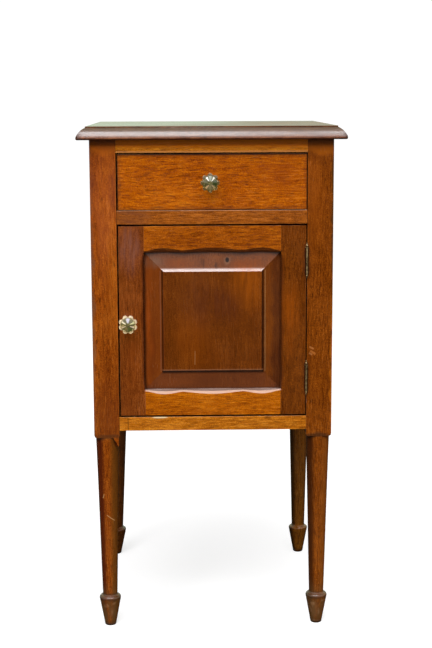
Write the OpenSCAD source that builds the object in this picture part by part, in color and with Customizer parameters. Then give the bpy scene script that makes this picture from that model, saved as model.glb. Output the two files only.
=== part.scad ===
// Bedside pot cupboard in mahogany: four square legs turned to spear feet, one drawer
// over a framed and panelled door, a moulded top, pressed glass knobs and brass butts.
// Millimetres. +X is to the right of someone facing the door, +Y runs to the back and
// +Z is up. The origin is on the floor, midway across the width and the whole depth.

/* [Heights, from the floor up] */
// Height of the turned part of each leg
turned_h = 300.5; // [280:0.5:320]
// How far the square of each leg stands below the bottom rail
leg_drop = 11; // [8:0.5:16]
// Height of the rail below the door
bottom_rail_h = 21; // [20:0.5:26]
// Height of the door opening
door_open_h = 289.5; // [270:0.5:310]
// Height of the rail between the door and the drawer
drawer_rail_h = 20.5; // [18:0.5:24]
// Height of the drawer opening
drawer_open_h = 84; // [76:0.5:92]
// Height of the rail above the drawer
top_rail_h = 19; // [17:0.5:24]
// Thickness of the top
top_t = 19.5; // [18.5:0.5:24]

/* [Carcass] */
// Width over the outer faces of the legs
body_w = 357; // [335:1:380]
// Depth over the outer faces of the legs
body_d = 376; // [350:1:400]
// Side of the square part of each leg
leg_sq = 38; // [36:0.5:41]
// How far the rails, the door and the drawer front stand behind the leg faces
front_set = 0.5; // [0.3:0.1:1.5]
// Depth, front to back, of the rails above and below the drawer
rail_d = 37.5; // [34:0.5:40]
// Thickness of the rail below the door
bottom_rail_t = 22; // [18:0.5:26]
// Thickness of the side boards
side_t = 9; // [8:0.5:11]
// How far the side boards stand inside the outer faces of the legs
side_set = 4; // [3:0.5:6]
// Thickness of the back board
back_t = 6; // [5:0.5:8]
// How far the back board stands inside the back faces of the legs
back_set = 4; // [3:0.5:6]
// Thickness of the two rails across the back
back_rail_t = 18; // [14:0.5:20]
// Height of the rail across the top of the back
back_rail_h = 40; // [30:1:50]
// Thickness of the cupboard floor
floor_t = 10; // [8:0.5:12]
// How deep the nails of the back go into the legs and the rails
back_nail_hold = 12; // [10:0.5:15]
// Thickness of the dust board under the drawer
dust_t = 6; // [5:0.5:7]

/* [Top] */
// How far the lip of the top stands out at the front and the sides
top_out = 18; // [16:0.5:24]
// How far the top stands out over the sides
top_side_out = 18.7; // [16:0.1:24]
// How far the top stands out at the back
top_back_out = 5; // [2:0.5:10]
// Height of the square step over the moulding
step_h = 2.2; // [1:0.1:2.5]
// Width of the flat fillet under the step
step_w = 0.8; // [0.5:0.1:2]
// Width of the ovolo moulding, from the fillet out to the lip
ovolo_w = 12.7; // [10:0.1:13]
// Radius of the lower edge of the lip
lip_r = 2.8; // [1:0.1:3.5]
// Radius of the front corners of the lip, seen from above
top_corner_r = 5; // [2:0.5:10]

/* [Turned legs] */
// Height of the spear foot
foot_h = 50; // [44:0.5:56]
// Largest radius of the spear foot
foot_r = 16.4; // [15:0.1:18]
// Radius of the rounded shoulder of the spear foot
shoulder_r = 4; // [3:0.1:4.5]
// Radius of the foot where it stands on the floor
toe_r = 8.5; // [6.5:0.1:9]
// Width of the worn chamfer round the toe
toe_chamfer = 0.9; // [0.5:0.1:1.5]
// Radius of the leg at its neck, over the foot
neck_r = 11.2; // [10:0.1:11.8]
// How far the turning stands inside the square where the two meet
turn_in = 1.3; // [1.3:0.1:2.5]
// How much the taper flares out close to the square
flare = 0.3; // [0:0.1:1]
// How far the foot of the left back leg has leaned outwards
back_lean = 6.5; // [0:0.5:7]
// Width of the chamfer round the lower end of the square
block_chamfer = 1.2; // [0.5:0.1:1.2]
// Height of that chamfer
block_chamfer_h = 4.5; // [2:0.1:6]
// Height of the tongue of wood left at the inner corner of the left front leg
corner_drop = 13; // [8:0.5:16]
// Width of that tongue
corner_w = 11; // [8:0.5:12]
// Height of the rounding where the square turns into the taper
pommel_h = 5; // [3:0.5:9]

/* [Door] */
// Thickness of the door frame
door_t = 20; // [18:0.5:22]
// Gap beside the door at the knob side
door_gap_knob = 2.4; // [2.2:0.1:3]
// Gap beside the door at the hinge side
door_gap_hinge = 1.6; // [1.4:0.1:2]
// Gap above the door
door_gap_top = 2.5; // [1.5:0.1:3]
// Gap below the door
door_gap_bottom = 2.6; // [1.5:0.1:3]
// Width of the door stiles
stile_w = 37.3; // [34:0.1:42]
// Height of the door rails
door_rail_w = 39.4; // [36:0.1:44]
// Width of the bevel on the frame at its narrowest points
wave_min = 2.2; // [1:0.1:2.8]
// Width of that bevel between two waves
wave_crest = 3.4; // [2.8:0.1:4.4]
// How much wider the bevel grows in the waves of the rails
wave_rail = 5; // [3:0.1:5.2]
// How much wider the bevel grows in the waves of the stiles
wave_stile = 3; // [2:0.1:5]
// Depth of the bevel on the frame, as a share of its width
wave_slope = 0.85; // [0.7:0.01:0.95]
// How far the panel's groove lies behind the front of the door frame
groove_set = 8.3; // [8:0.1:9.5]
// Length of the first and the last wave of a rail
wave_end_rail = 56; // [45:1:65]
// Length of the first and the last wave of a stile
wave_end_stile = 50; // [40:1:60]
// Width of the groove that holds the panel
groove_w = 5.4; // [4.5:0.1:6]
// Depth of the groove that holds the panel
groove_d = 8.5; // [7:0.1:10]
// How far the panel reaches into its groove
panel_in = 6.5; // [5:0.1:6.8]
// Width of the sloping border of the panel
panel_border = 25.7; // [20:0.1:30]
// Width of the shoulder between the border and the raised field
shoulder_w = 2.7; // [1.5:0.1:4]
// Height of that shoulder
shoulder_h = 2.4; // [1.5:0.1:2.6]
// Width of the hollow in the border at the foot of that shoulder
hollow_w = 3.5; // [2:0.1:5]
// How far the raised field stands behind the front of the door frame
field_set = 1.5; // [1:0.1:2.5]
// Length of the tenons on the door rails
door_tenon = 29; // [20:0.5:31]

/* [Drawer] */
// Thickness of the drawer front
front_t = 19; // [17:0.5:21]
// Gap beside the drawer front at the left
drawer_gap_left = 1.9; // [0.8:0.1:2.5]
// Gap beside the drawer front at the right
drawer_gap_right = 0.9; // [0.6:0.1:2.5]
// Gap above the drawer front
drawer_gap_top = 1.6; // [1:0.1:2.5]
// Gap below the drawer front
drawer_gap_bottom = 0.6; // [0.4:0.1:1.2]
// Thickness of the drawer sides
drawer_side_t = 9.5; // [8:0.5:11]
// Thickness of the drawer back
drawer_back_t = 8; // [7:0.5:10]
// Thickness of the drawer bottom
drawer_bottom_t = 5.5; // [4.5:0.5:6.5]
// Room between the back of the drawer and the back top rail
drawer_back_gap = 21.5; // [10:0.5:60]
// Length of the lapped dovetails at the front of the drawer sides
lap_tail = 13; // [10:0.5:15]
// How deep the nails of the drawer bottom go up into the drawer's back
bottom_nail_hold = 14; // [10:0.5:20]
// Height of the drawer bottom's groove over the lower edge of the sides
bottom_up = 8; // [6:0.5:10]

/* [Knobs] */
// Radius of the glass knobs over their eight points
knob_r = 14.2; // [13:0.1:17]
// Radius of the glass knobs at the eight hollows
knob_hollow_r = 11.6; // [10.6:0.1:12.9]
// Radius of the raised pyramid in the middle of the glass knobs
pyramid_r = 10; // [8:0.1:10.5]
// How far the knobs stand out from the wood
knob_len = 26; // [24:0.5:30]
// Radius of the bolt through the middle of each knob
knob_bolt_r = 2.5; // [2:0.1:3]
// Place of the drawer knob, to the right of the middle of the cupboard
drawer_knob_x = -3; // [-6:0.5:6]
// Distance of the door knob from the edge of the door
door_knob_in = 13.2; // [12.2:0.1:18.5]

/* [Hinges and catch] */
// Height of the hinge leaves
hinge_h = 38; // [34:1:50]
// Distance of the upper hinge's middle from the top of the door
hinge_from_top = 52; // [40:1:70]
// Distance of the lower hinge's middle from the bottom of the door
hinge_from_bottom = 56; // [40:1:70]
// Width of the hinge leaves, front to back
leaf_w = 17; // [14:0.5:18]
// Thickness of the hinge leaves
leaf_t = 1.2; // [1:0.1:1.4]
// Outer radius of the hinge knuckles
knuckle_r = 2.5; // [2.4:0.1:2.6]
// Radius of the hinge pins
pin_r = 1.4; // [1.2:0.05:1.45]
// How far the hinge pins stand in front of the leg faces
pin_front = 2.8; // [2.7:0.1:3.5]
// Thickness of the tongue that the door knob turns
tongue_plate_t = 2.4; // [1.6:0.1:3]
// Width of that tongue
tongue_plate_w = 10; // [7:0.5:12]
// How far the tongue reaches into the leg when it is turned across
tongue_bite = 6; // [3:0.5:8]

/* [Hidden] */
$fn = 48;

// Colours of the woods and metals
polish = [0.47, 0.23, 0.09];
polish_gold = [0.62, 0.34, 0.09];
polish_dark = [0.36, 0.17, 0.08];
bare_wood = [0.66, 0.50, 0.33];
brass = [0.70, 0.58, 0.34];
steel = [0.45, 0.44, 0.42];
glass = [0.75, 0.80, 0.70, 0.6];

// Clearances: a glued joint, the spare depth of a mortise and a running fit
fit = 0.05;
spare = 1;
run = 0.05;
seat_gap = 0.3;
lap = 0.2;
cut = 1;

// Levels
z_square = turned_h;
z_rail = z_square + leg_drop;
z_door0 = z_rail + bottom_rail_h;
z_door1 = z_door0 + door_open_h;
z_drawer0 = z_door1 + drawer_rail_h;
z_drawer1 = z_drawer0 + drawer_open_h;
z_top = z_drawer1 + top_rail_h;
z_all = z_top + top_t;

// Plan of the carcass, from its middle and from the front faces of the legs
x_out = body_w / 2;
x_in = x_out - leg_sq;
x_leg = x_out - leg_sq / 2;
y_leg = leg_sq / 2;
y_leg_back = body_d - leg_sq / 2;
y_square = leg_sq;
y_square_back = body_d - leg_sq;
x_side = x_out - side_set - side_t;
y_back = body_d - back_set - back_t;
y_back_rail = y_back - back_rail_t;
y_front = front_set;
y_middle = (body_d + top_back_out - (knob_len - front_set)) / 2;

// Joinery of the carcass
tenon_l = 14;
tenon_t = 7;
tail_l = 14;
tail_h = 12;
tail_w0 = 14;
tail_w1 = 18;
tongue_l = 6;
tongue_t = 5;
rebate = 8;
strip_w = 45;
guide_h = 18;
bearer_w = 12;
stop_w = 8;
stop_t = 10;
stop_l = 60;
stop_in = 17;
drawer_stop = [22, 9, 5.5];
drawer_stop_x = 70;

// Plan of the door
x_door0 = -x_in + door_gap_knob;
x_door1 = x_in - door_gap_hinge;
zd0 = z_door0 + door_gap_bottom;
zd1 = z_door1 - door_gap_top;
y_door1 = y_front + door_t;
x_open0 = x_door0 + stile_w;
x_open1 = x_door1 - stile_w;
z_open0 = zd0 + door_rail_w;
z_open1 = zd1 - door_rail_w;
groove_y = y_front + groove_set;
door_haunch = 9;
slip = 0.1;

// Plan of the drawer
x_drawer0 = -x_in + drawer_gap_left;
x_drawer1 = x_in - drawer_gap_right;
zw0 = z_drawer0 + drawer_gap_bottom;
zw1 = z_drawer1 - drawer_gap_top;
zw_foot = z_drawer0 + seat_gap;
y_front1 = y_front + front_t;
y_drawer1 = y_back_rail - drawer_back_gap;
side_drop = 1.5;
back_drop = 6;
bottom_in = 4.5;

// Hinges
x_pin = x_in - door_gap_hinge / 2;
y_pin = -pin_front;
hinge_z = [zd1 - hinge_from_top, zd0 + hinge_from_bottom];
knuckle_h = hinge_h / 3;
knuckle_gap = 0.15;
leaf_screw_y = leaf_w * 0.6;
leaf_screw_z = hinge_h * 0.32;
screw_head_r = 2.6;
screw_r = 1.2;
screw_l = 11;
finial = 8;

// Knobs
collar_h = 2.4;
collar_r = 8;
skirt = [17, 19.8];
star_share = 0.84;
knob_bore = 14;
nut = [9, 3];
z_door_knob = (zd0 + zd1) / 2 - 1.3;
x_door_knob = x_door0 + door_knob_in;
z_drawer_knob = (zw0 + zw1) / 2 - 0.4;

// Turning tongue of the door knob and the plate in the leg that it enters
turn_gap = 0.1;
y_tongue = y_door1 + turn_gap;
tongue_r = x_door_knob + x_in + tongue_bite;
slot_gap = 1;
slot_y0 = y_tongue - slot_gap;
slot_y1 = y_tongue + tongue_plate_t + slot_gap;
slot_z0 = z_door_knob - sqrt(pow(tongue_r, 2) - pow(x_door_knob + x_in, 2)) - tongue_plate_w / 2;
slot_z1 = z_door_knob + tongue_plate_w / 2 + slot_gap;
catch_t = 1;
catch_edge = [5, 7];

// Screws through the kickers into the top
top_screw_y = [70, 170, 270];
top_screw_x = x_side - 14;
top_screw_up = 13;

// ---- Helpers ----

// Moves a piece from the front faces of the legs into the frame of the whole cupboard
module place() translate([0, -y_middle, 0]) children();

// A box given by its two corners
module box(lo, hi) translate(lo) cube(hi - lo);

// Points of an arc
function arc(c, r, a0, a1, n = 10) =
    [for (i = [0:n]) let (a = a0 + (a1 - a0) * i / n) c + r * [cos(a), sin(a)]];

// Both sides, from the right-hand one
module both() {
    children();
    mirror([1, 0, 0]) children();
}

// Rotates a shape drawn along +Z to run along the direction X
module along_x(at) translate(at) rotate([0, 90, 0]) children();

// Rotates a shape drawn along +Z to stand out of the front
module out_front(at) translate(at) rotate([90, 0, 0]) children();

// A countersunk screw with its head flush at the origin, driven along +Z
module screw(grow = 0) {
    cylinder(h = 1.6, r1 = screw_head_r + grow, r2 = screw_r + grow);
    cylinder(h = screw_l + grow, r = screw_r + grow);
}

// A nail with a flat head on the origin, driven along +Z
module nail(length, grow = 0) {
    translate([0, 0, -0.6]) cylinder(h = 0.6, r = 1.6 + grow);
    cylinder(h = length + grow, r = 0.8 + grow);
}

// ---- Joints of the carcass rails, drawn as tenons or, grown, as mortises ----

// Dovetails of the two top rails, open at the top of the leg
module top_tails(y, grow = 0) both()
    translate([0, y, z_top - tail_h - grow]) linear_extrude(tail_h + 2 * grow)
        polygon([
            [x_in - lap, -tail_w0 / 2 - grow], [x_in + tail_l + grow, -tail_w1 / 2 - grow],
            [x_in + tail_l + grow, tail_w1 / 2 + grow], [x_in - lap, tail_w0 / 2 + grow]
        ]);

// Stub tenons between two heights
module stub_tenons(y, z0, z1, grow = 0) both() {
    deep = grow > 0 ? spare : 0;
    box([x_in - lap, y - grow, z0 - grow], [x_in + tenon_l + deep, y + tenon_t + grow, z1 + grow]);
}

module drawer_rail_tenons(grow = 0) for (y = [y_front + 6, y_front + rail_d - 6 - tenon_t])
    stub_tenons(y, z_door1 + 2, z_drawer0 - 2, grow);

module bottom_rail_tenons(grow = 0)
    stub_tenons(y_front + 8, z_rail + 3, z_door0 - 3, grow);

module back_bottom_tenons(grow = 0)
    stub_tenons(y_back_rail + 5, z_rail + 3, z_door0 - 3, grow);

// ---- Legs ----

// Outline of the turned part and the spear foot
taper_r = leg_sq / 2 - turn_in - flare;
function leg_r(t) = neck_r + (taper_r - neck_r) * t + flare * pow(t, 6);
leg_steps = 18;
foot_wide_z = foot_h - shoulder_r - 2;
leg_outline = concat(
    [[0, 0], [toe_r - toe_chamfer, 0], [toe_r, toe_chamfer * 1.2]],
    arc([foot_r - shoulder_r, foot_wide_z], shoulder_r, -10, 90, 10),
    [for (i = [0:leg_steps]) let (t = i / leg_steps)
        [leg_r(t), foot_h + (z_square - foot_h) * t]],
    [[taper_r - 3, z_square + 1], [0, z_square + 1]]
);

// Outline that rounds the corners of the square down to the turning
corner_r = leg_sq / 2 * sqrt(2);
pommel_r = leg_sq / 2 + 3;
pommel_outline = concat(
    [[0, z_square], [pommel_r, z_square]],
    [for (a = [15:15:90]) [
        pommel_r + (corner_r + 0.2 - pommel_r) * sin(a),
        z_square + pommel_h * (1 - cos(a))
    ]],
    [[corner_r + 0.2, z_top], [0, z_top]]
);

// Square part of a leg seen along Y, with the chamfer at its lower end
block_outline = let (h = leg_sq / 2) [
    [-h + block_chamfer, z_square], [h - block_chamfer, z_square],
    [h, z_square + block_chamfer_h], [h, z_top], [-h, z_top], [-h, z_square + block_chamfer_h]
];

// One leg before its joints are cut. Its turned part can lean along X, by so much at the foot
module leg_blank(x, y, lean = 0) translate([x, y, 0]) union() {
    multmatrix([[1, 0, -lean / z_square, lean], [0, 1, 0, 0], [0, 0, 1, 0]])
        rotate_extrude($fn = 96) polygon(leg_outline);
    intersection() {
        translate([0, leg_sq / 2, 0]) rotate([90, 0, 0])
            linear_extrude(leg_sq) polygon(block_outline);
        rotate([0, 0, 90]) translate([0, leg_sq / 2, 0]) rotate([90, 0, 0])
            linear_extrude(leg_sq) polygon(block_outline);
        rotate_extrude($fn = 96) polygon(pommel_outline);
    }
}

// Wood left standing at the inner front corner, where the turner's cut ran out: kites from
// the middle of the leg to its corner, each lower one narrower
module corner_tongue() {
    h = leg_sq / 2 - block_chamfer;
    falls = [-0.5, 0.25, 0.6, 1];
    widths = [1, 0.62, 0.3, 0.1];
    translate([-x_leg, y_leg, 0]) polyhedron(
        points = [for (k = [0:3], p = [[0, 0], [1, 1], [0, 1], [0, 2]])
            let (w = corner_w * widths[k])
            [p[1] == 0 ? 0 : p[1] == 1 ? (p[0] == 1 ? h - w : h) : h,
             p[1] == 0 ? 0 : p[1] == 1 ? -h : -h + w,
             z_square - corner_drop * falls[k]]],
        faces = concat(
            [[0, 1, 2], [0, 2, 3], [12, 14, 13], [12, 15, 14]],
            [for (k = [0:2], j = [0:3], t = [0, 1])
                let (a = 4 * k + j, b = 4 * k + (j + 1) % 4)
                t == 0 ? [a, a + 4, b] : [b, a + 4, b + 4]]
        ));
}

// A front leg: side is -1 for the left and 1 for the right
module leg_front(side) difference() {
    leg_blank(side * x_leg, y_leg);
    top_tails(y_front + rail_d / 2, fit);
    drawer_rail_tenons(fit);
    bottom_rail_tenons(fit);
    both() box(
        [x_side + 2 - fit, y_square - tongue_l - spare, z_rail],
        [x_side + 2 + tongue_t + fit, y_square + cut, z_top + cut]);
}

// A back leg
module leg_back(side, lean = 0) difference() {
    leg_blank(side * x_leg, y_leg_back, lean);
    top_tails(y_back_rail + back_rail_t / 2, fit);
    back_bottom_tenons(fit);
    both() box(
        [x_side + 2 - fit, y_square_back - cut, z_rail],
        [x_side + 2 + tongue_t + fit, y_square_back + tongue_l + spare, z_top + cut]);
    both() box([x_in - cut, y_back, z_rail], [x_in + rebate + fit, body_d + cut, z_top + cut]);
    back_nail_group(run);
}

module leg_front_left() place() color(polish) difference() {
    union() {
        leg_front(-1);
        corner_tongue();
    }
    catch_plate_shape(cut);
    catch_slot(tongue_bite + spare);
    catch_plate_nail_group(run);
}

module leg_front_right() place() color(polish) difference() {
    leg_front(1);
    for (z = hinge_z) box([x_in - cut, -cut, z - hinge_h / 2], [x_in + leaf_t, leaf_w, z + hinge_h / 2]);
    hinge_leg_screw_group(run);
}

module leg_back_left() place() color(polish) leg_back(-1, -back_lean);

module leg_back_right() place() color(polish) leg_back(1);

// ---- Rails of the carcass ----

module front_top_rail() place() color(polish_gold) union() {
    box([-x_in, y_front, z_drawer1], [x_in, y_front + rail_d, z_top]);
    top_tails(y_front + rail_d / 2);
}

module drawer_rail() place() color(polish) difference() {
    union() {
        box([-x_in, y_front, z_door1], [x_in, y_front + rail_d, z_drawer0]);
        drawer_rail_tenons();
    }
    box([-x_in - cut, y_front + rail_d - tongue_l, dust_z - fit],
        [x_in + cut, y_front + rail_d + cut, dust_z + dust_t + fit]);
}

module front_bottom_rail() place() color(polish_gold) union() {
    box([-x_in, y_front, z_rail], [x_in, y_front + bottom_rail_t, z_door0]);
    bottom_rail_tenons();
}

module back_top_rail() place() color(bare_wood) difference() {
    union() {
        box([-x_in, y_back_rail, z_top - back_rail_h], [x_in, y_back, z_top]);
        top_tails(y_back_rail + back_rail_t / 2);
    }
    back_nail_group(run);
}

module back_bottom_rail() place() color(bare_wood) difference() {
    union() {
        box([-x_in, y_back_rail, z_rail], [x_in, y_back, z_door0]);
        back_bottom_tenons();
    }
    back_nail_group(run);
}

// ---- Boards that close the carcass ----

module side_board() union() {
    box([x_side, y_square, z_rail], [x_side + side_t, y_square_back, z_top]);
    box([x_side + 2, y_square - tongue_l, z_rail],
        [x_side + 2 + tongue_t, y_square_back + tongue_l, z_top]);
}

module side_board_right() place() color(polish) side_board();

module side_board_left() place() color(polish) mirror([1, 0, 0]) side_board();

module back_board() place() color(bare_wood) difference() {
    box([-x_in - rebate, y_back, z_rail], [x_in + rebate, y_back + back_t, z_top]);
    back_nail_group(run);
}

module cupboard_floor() place() color(bare_wood) union() {
    box([-x_in + fit, y_front + bottom_rail_t, z_door0 - floor_t], [x_in - fit, y_back_rail, z_door0]);
    box([-x_side + fit, y_square + fit, z_door0 - floor_t], [x_side - fit, y_square_back - fit, z_door0]);
}

module floor_bearer() box(
    [x_side - bearer_w, y_square + 2, z_rail], [x_side, y_square_back - 2, z_door0 - floor_t]);

module floor_bearer_right() place() color(bare_wood) floor_bearer();

module floor_bearer_left() place() color(bare_wood) mirror([1, 0, 0]) floor_bearer();

// ---- Strips that the drawer runs between ----

dust_z = z_door1 + 7;

module drawer_runner() difference() {
    box([x_side - strip_w, y_square, z_door1], [x_side, y_square_back, z_drawer0]);
    box([x_side - strip_w - cut, y_square - cut, dust_z - fit],
        [x_side - strip_w + tongue_l, y_square_back + cut, dust_z + dust_t + fit]);
}

module drawer_runner_right() place() color(bare_wood) drawer_runner();

module drawer_runner_left() place() color(bare_wood) mirror([1, 0, 0]) drawer_runner();

module drawer_guide() box([x_in, y_square, z_drawer0], [x_side, y_square_back, z_drawer0 + guide_h]);

module drawer_guide_right() place() color(bare_wood) drawer_guide();

module drawer_guide_left() place() color(bare_wood) mirror([1, 0, 0]) drawer_guide();

module drawer_kicker() difference() {
    box([x_side - strip_w, y_square, z_drawer1], [x_side, y_square_back, z_top]);
    top_screw_group(run);
}

module drawer_kicker_right() place() color(bare_wood) drawer_kicker();

module drawer_kicker_left() place() color(bare_wood) mirror([1, 0, 0]) drawer_kicker();

module dust_board() place() color(bare_wood) box(
    [-x_side + strip_w - tongue_l + slip, y_front + rail_d - tongue_l + slip, dust_z],
    [x_side - strip_w + tongue_l - slip, y_square_back, dust_z + dust_t]);

module drawer_stops() place() color(bare_wood) both()
    translate([drawer_stop_x, y_front1 + seat_gap, z_drawer0]) cube(drawer_stop);

module door_stops() place() color(bare_wood)
    for (z = [zd0 + stop_in, zd1 - stop_in - stop_l])
        translate([-x_in, y_door1 + seat_gap, z]) cube([stop_w, stop_t, stop_l]);

// ---- Top ----

// One moulded edge, seen along the moulding: the lip is at u = 0 and the board at u < 0
ovolo_turn = [23, 67];
ovolo_h = top_t - step_h - lip_r;
function moulded_edge() = concat(
    [[-ovolo_w - step_w, z_all], [-ovolo_w - step_w, z_all - step_h]],
    [for (i = [0:12]) let (a = ovolo_turn[1] + (ovolo_turn[0] - ovolo_turn[1]) * i / 12) [
        -ovolo_w * (cos(ovolo_turn[0]) - cos(a)) / (cos(ovolo_turn[0]) - cos(ovolo_turn[1])),
        z_top + lip_r + ovolo_h * (sin(a) - sin(ovolo_turn[0])) / (sin(ovolo_turn[1]) - sin(ovolo_turn[0]))
    ]],
    [for (p = arc([-lip_r, z_top + lip_r], lip_r, -15, -90, 5)) p]
);

module top_board() place() color(polish_dark) difference() {
    intersection() {
        translate([0, body_d + top_back_out, 0]) rotate([90, 0, 0])
            linear_extrude(body_d + top_back_out + top_out) polygon(concat(
                [for (p = moulded_edge()) [x_out + top_side_out + p[0], p[1]]],
                [for (i = [len(moulded_edge()) - 1:-1:0]) let (p = moulded_edge()[i])
                    [-x_out - top_side_out - p[0], p[1]]]
            ));
        translate([-x_out - top_side_out, 0, 0]) rotate([90, 0, 90])
            linear_extrude(2 * (x_out + top_side_out)) polygon(concat(
                [for (p = moulded_edge()) [-top_out - p[0], p[1]]],
                [[body_d + top_back_out, z_top], [body_d + top_back_out, z_all]]
            ));
        top_plan();
    }
    both() top_screw_group(run);
}

// Plan of the top, with its two front corners rounded
module top_plan() {
    w = x_out + top_side_out;
    c = top_corner_r;
    translate([0, 0, z_top - cut]) linear_extrude(top_t + 2 * cut) polygon(concat(
        arc([-w + c, -top_out + c], c, 180, 270, 6),
        arc([w - c, -top_out + c], c, 270, 360, 6),
        [[w, body_d + top_back_out], [-w, body_d + top_back_out]]
    ));
}

// Screws of the right-hand kicker
module top_screw_group(grow = 0) for (y = top_screw_y)
    translate([top_screw_x, y_square + y - 20, z_drawer1]) {
        cylinder(h = 2.4, r1 = 4 + grow, r2 = 2 + grow);
        cylinder(h = top_rail_h + top_screw_up + grow, r = 2 + grow);
    }

module top_screws() place() color(steel) both() top_screw_group();

// ---- Nails of the back board ----

module back_nail_group(grow = 0) for (side = [-1, 1]) {
    for (k = [0.08, 0.3, 0.5, 0.7, 0.92])
        translate([side * (x_in + rebate / 2), y_back + back_t, z_rail + (z_top - z_rail) * k])
            rotate([90, 0, 0]) nail(back_t + back_nail_hold, grow);
    for (z = [z_rail + bottom_rail_h / 2, z_top - back_rail_h / 2])
        translate([side * x_in / 2, y_back + back_t, z]) rotate([90, 0, 0]) nail(back_t + back_nail_hold, grow);
}

module back_nails() place() color(steel) back_nail_group();

// ---- Hinges ----

// The leaf on the leg carries the two outer knuckles and the leaf on the door the middle one
module hinge_leaf(z, x0, x1, knuckles) difference() {
    union() {
        box([x0, 0.15, z - hinge_h / 2], [x1, leaf_w, z + hinge_h / 2]);
        for (k = knuckles) {
            z0 = z - hinge_h / 2 + knuckle_h * k + knuckle_gap / 2;
            z1 = z0 + knuckle_h - knuckle_gap;
            box([x0, y_pin + pin_r, z0], [x1, 1, z1]);
            translate([x_pin, y_pin, z0]) cylinder(h = z1 - z0, r = knuckle_r);
        }
    }
    translate([x_pin, y_pin, z - hinge_h]) cylinder(h = 2 * hinge_h, r = pin_r + run);
}

module hinge_leaf_leg(z) difference() {
    hinge_leaf(z, x_in, x_in + leaf_t, [0, 2]);
    hinge_leg_screw_group(run);
}

module hinge_leaf_door(z) difference() {
    hinge_leaf(z, x_door1 - leaf_t, x_door1, [1]);
    hinge_door_screw_group(run);
}

module hinge_leaf_leg_upper() place() color(brass) hinge_leaf_leg(hinge_z[0]);

module hinge_leaf_leg_lower() place() color(brass) hinge_leaf_leg(hinge_z[1]);

module hinge_leaf_door_upper() place() color(brass) hinge_leaf_door(hinge_z[0]);

module hinge_leaf_door_lower() place() color(brass) hinge_leaf_door(hinge_z[1]);

// Ball and steeple at each end of the pin, standing on the knuckles
function steeple() = concat(
    [[0, 0], [knuckle_r - 0.2, 0], [knuckle_r - 0.2, 0.7], [1.1, 1.2]],
    arc([0, 3.1], 1.9, -50, 50, 6),
    [[0.9, 4.9], [1.1, 5.6], [0.35, finial], [0, finial]]
);

module hinge_pin(z) translate([x_pin, y_pin, z]) union() {
    translate([0, 0, -hinge_h / 2]) cylinder(h = hinge_h, r = pin_r);
    translate([0, 0, hinge_h / 2]) rotate_extrude() polygon(steeple());
    mirror([0, 0, 1]) translate([0, 0, hinge_h / 2]) rotate_extrude() polygon(steeple());
}

module hinge_pin_upper() place() color(brass) hinge_pin(hinge_z[0]);

module hinge_pin_lower() place() color(brass) hinge_pin(hinge_z[1]);

module hinge_leg_screw_group(grow = 0) for (z = hinge_z, s = [-1, 1])
    along_x([x_in, leaf_screw_y, z + s * leaf_screw_z]) screw(grow);

module hinge_door_screw_group(grow = 0) for (z = hinge_z, s = [-1, 1])
    mirror([1, 0, 0]) along_x([-x_door1, leaf_screw_y, z + s * leaf_screw_z]) screw(grow);

module hinge_leg_screws() place() color(brass) hinge_leg_screw_group();

module hinge_door_screws() place() color(brass) hinge_door_screw_group();

// ---- Plate let into the leg, with the slot that the tongue turns into ----

module catch_plate_shape(over = 0) box(
    [-x_in - catch_t, slot_y0 - catch_edge[0], slot_z0 - catch_edge[1]],
    [-x_in + over, slot_y1 + catch_edge[0], slot_z1 + catch_edge[1]]);

module catch_slot(depth) box([-x_in - depth, slot_y0, slot_z0], [-x_in + cut, slot_y1, slot_z1]);

module catch_plate() place() color(brass) difference() {
    catch_plate_shape();
    catch_slot(catch_t + cut);
    catch_plate_nail_group(run);
}

module catch_plate_nail_group(grow = 0)
    for (z = [slot_z0 - catch_edge[1] / 2, slot_z1 + catch_edge[1] / 2])
        mirror([1, 0, 0]) along_x([x_in, (slot_y0 + slot_y1) / 2, z]) union() {
            cylinder(h = catch_t, r1 = 1.5 + grow, r2 = 0.8 + grow);
            cylinder(h = 9 + grow, r = 0.8 + grow);
        }

module catch_plate_nails() place() color(brass) catch_plate_nail_group();

// ---- Door ----

// How much of its growth the wavy bevel has at u along an edge of the given length: three
// shallow arches, which fall to low between them and to nothing at the ends
function arch(t, low) = low + (1 - low) * pow(sin(180 * t), 1.3);
function end_arch(t, low) = arch(t, t < 0.5 ? 0 : low);
function wave(u, length, end, low) =
    u < end ? end_arch(u / end, low) :
    u > length - end ? end_arch((length - u) / end, low) :
    arch((u - end) / (length - 2 * end), low);

// Places along the edge at which the bevel is drawn, with as many in each arch
arch_steps = 14;
function wave_places(length, end) = concat(
    [for (i = [0:arch_steps]) end * i / arch_steps],
    [for (i = [1:arch_steps]) end + (length - 2 * end) * i / arch_steps],
    [for (i = [1:arch_steps]) length - end + end * i / arch_steps]
);

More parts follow.
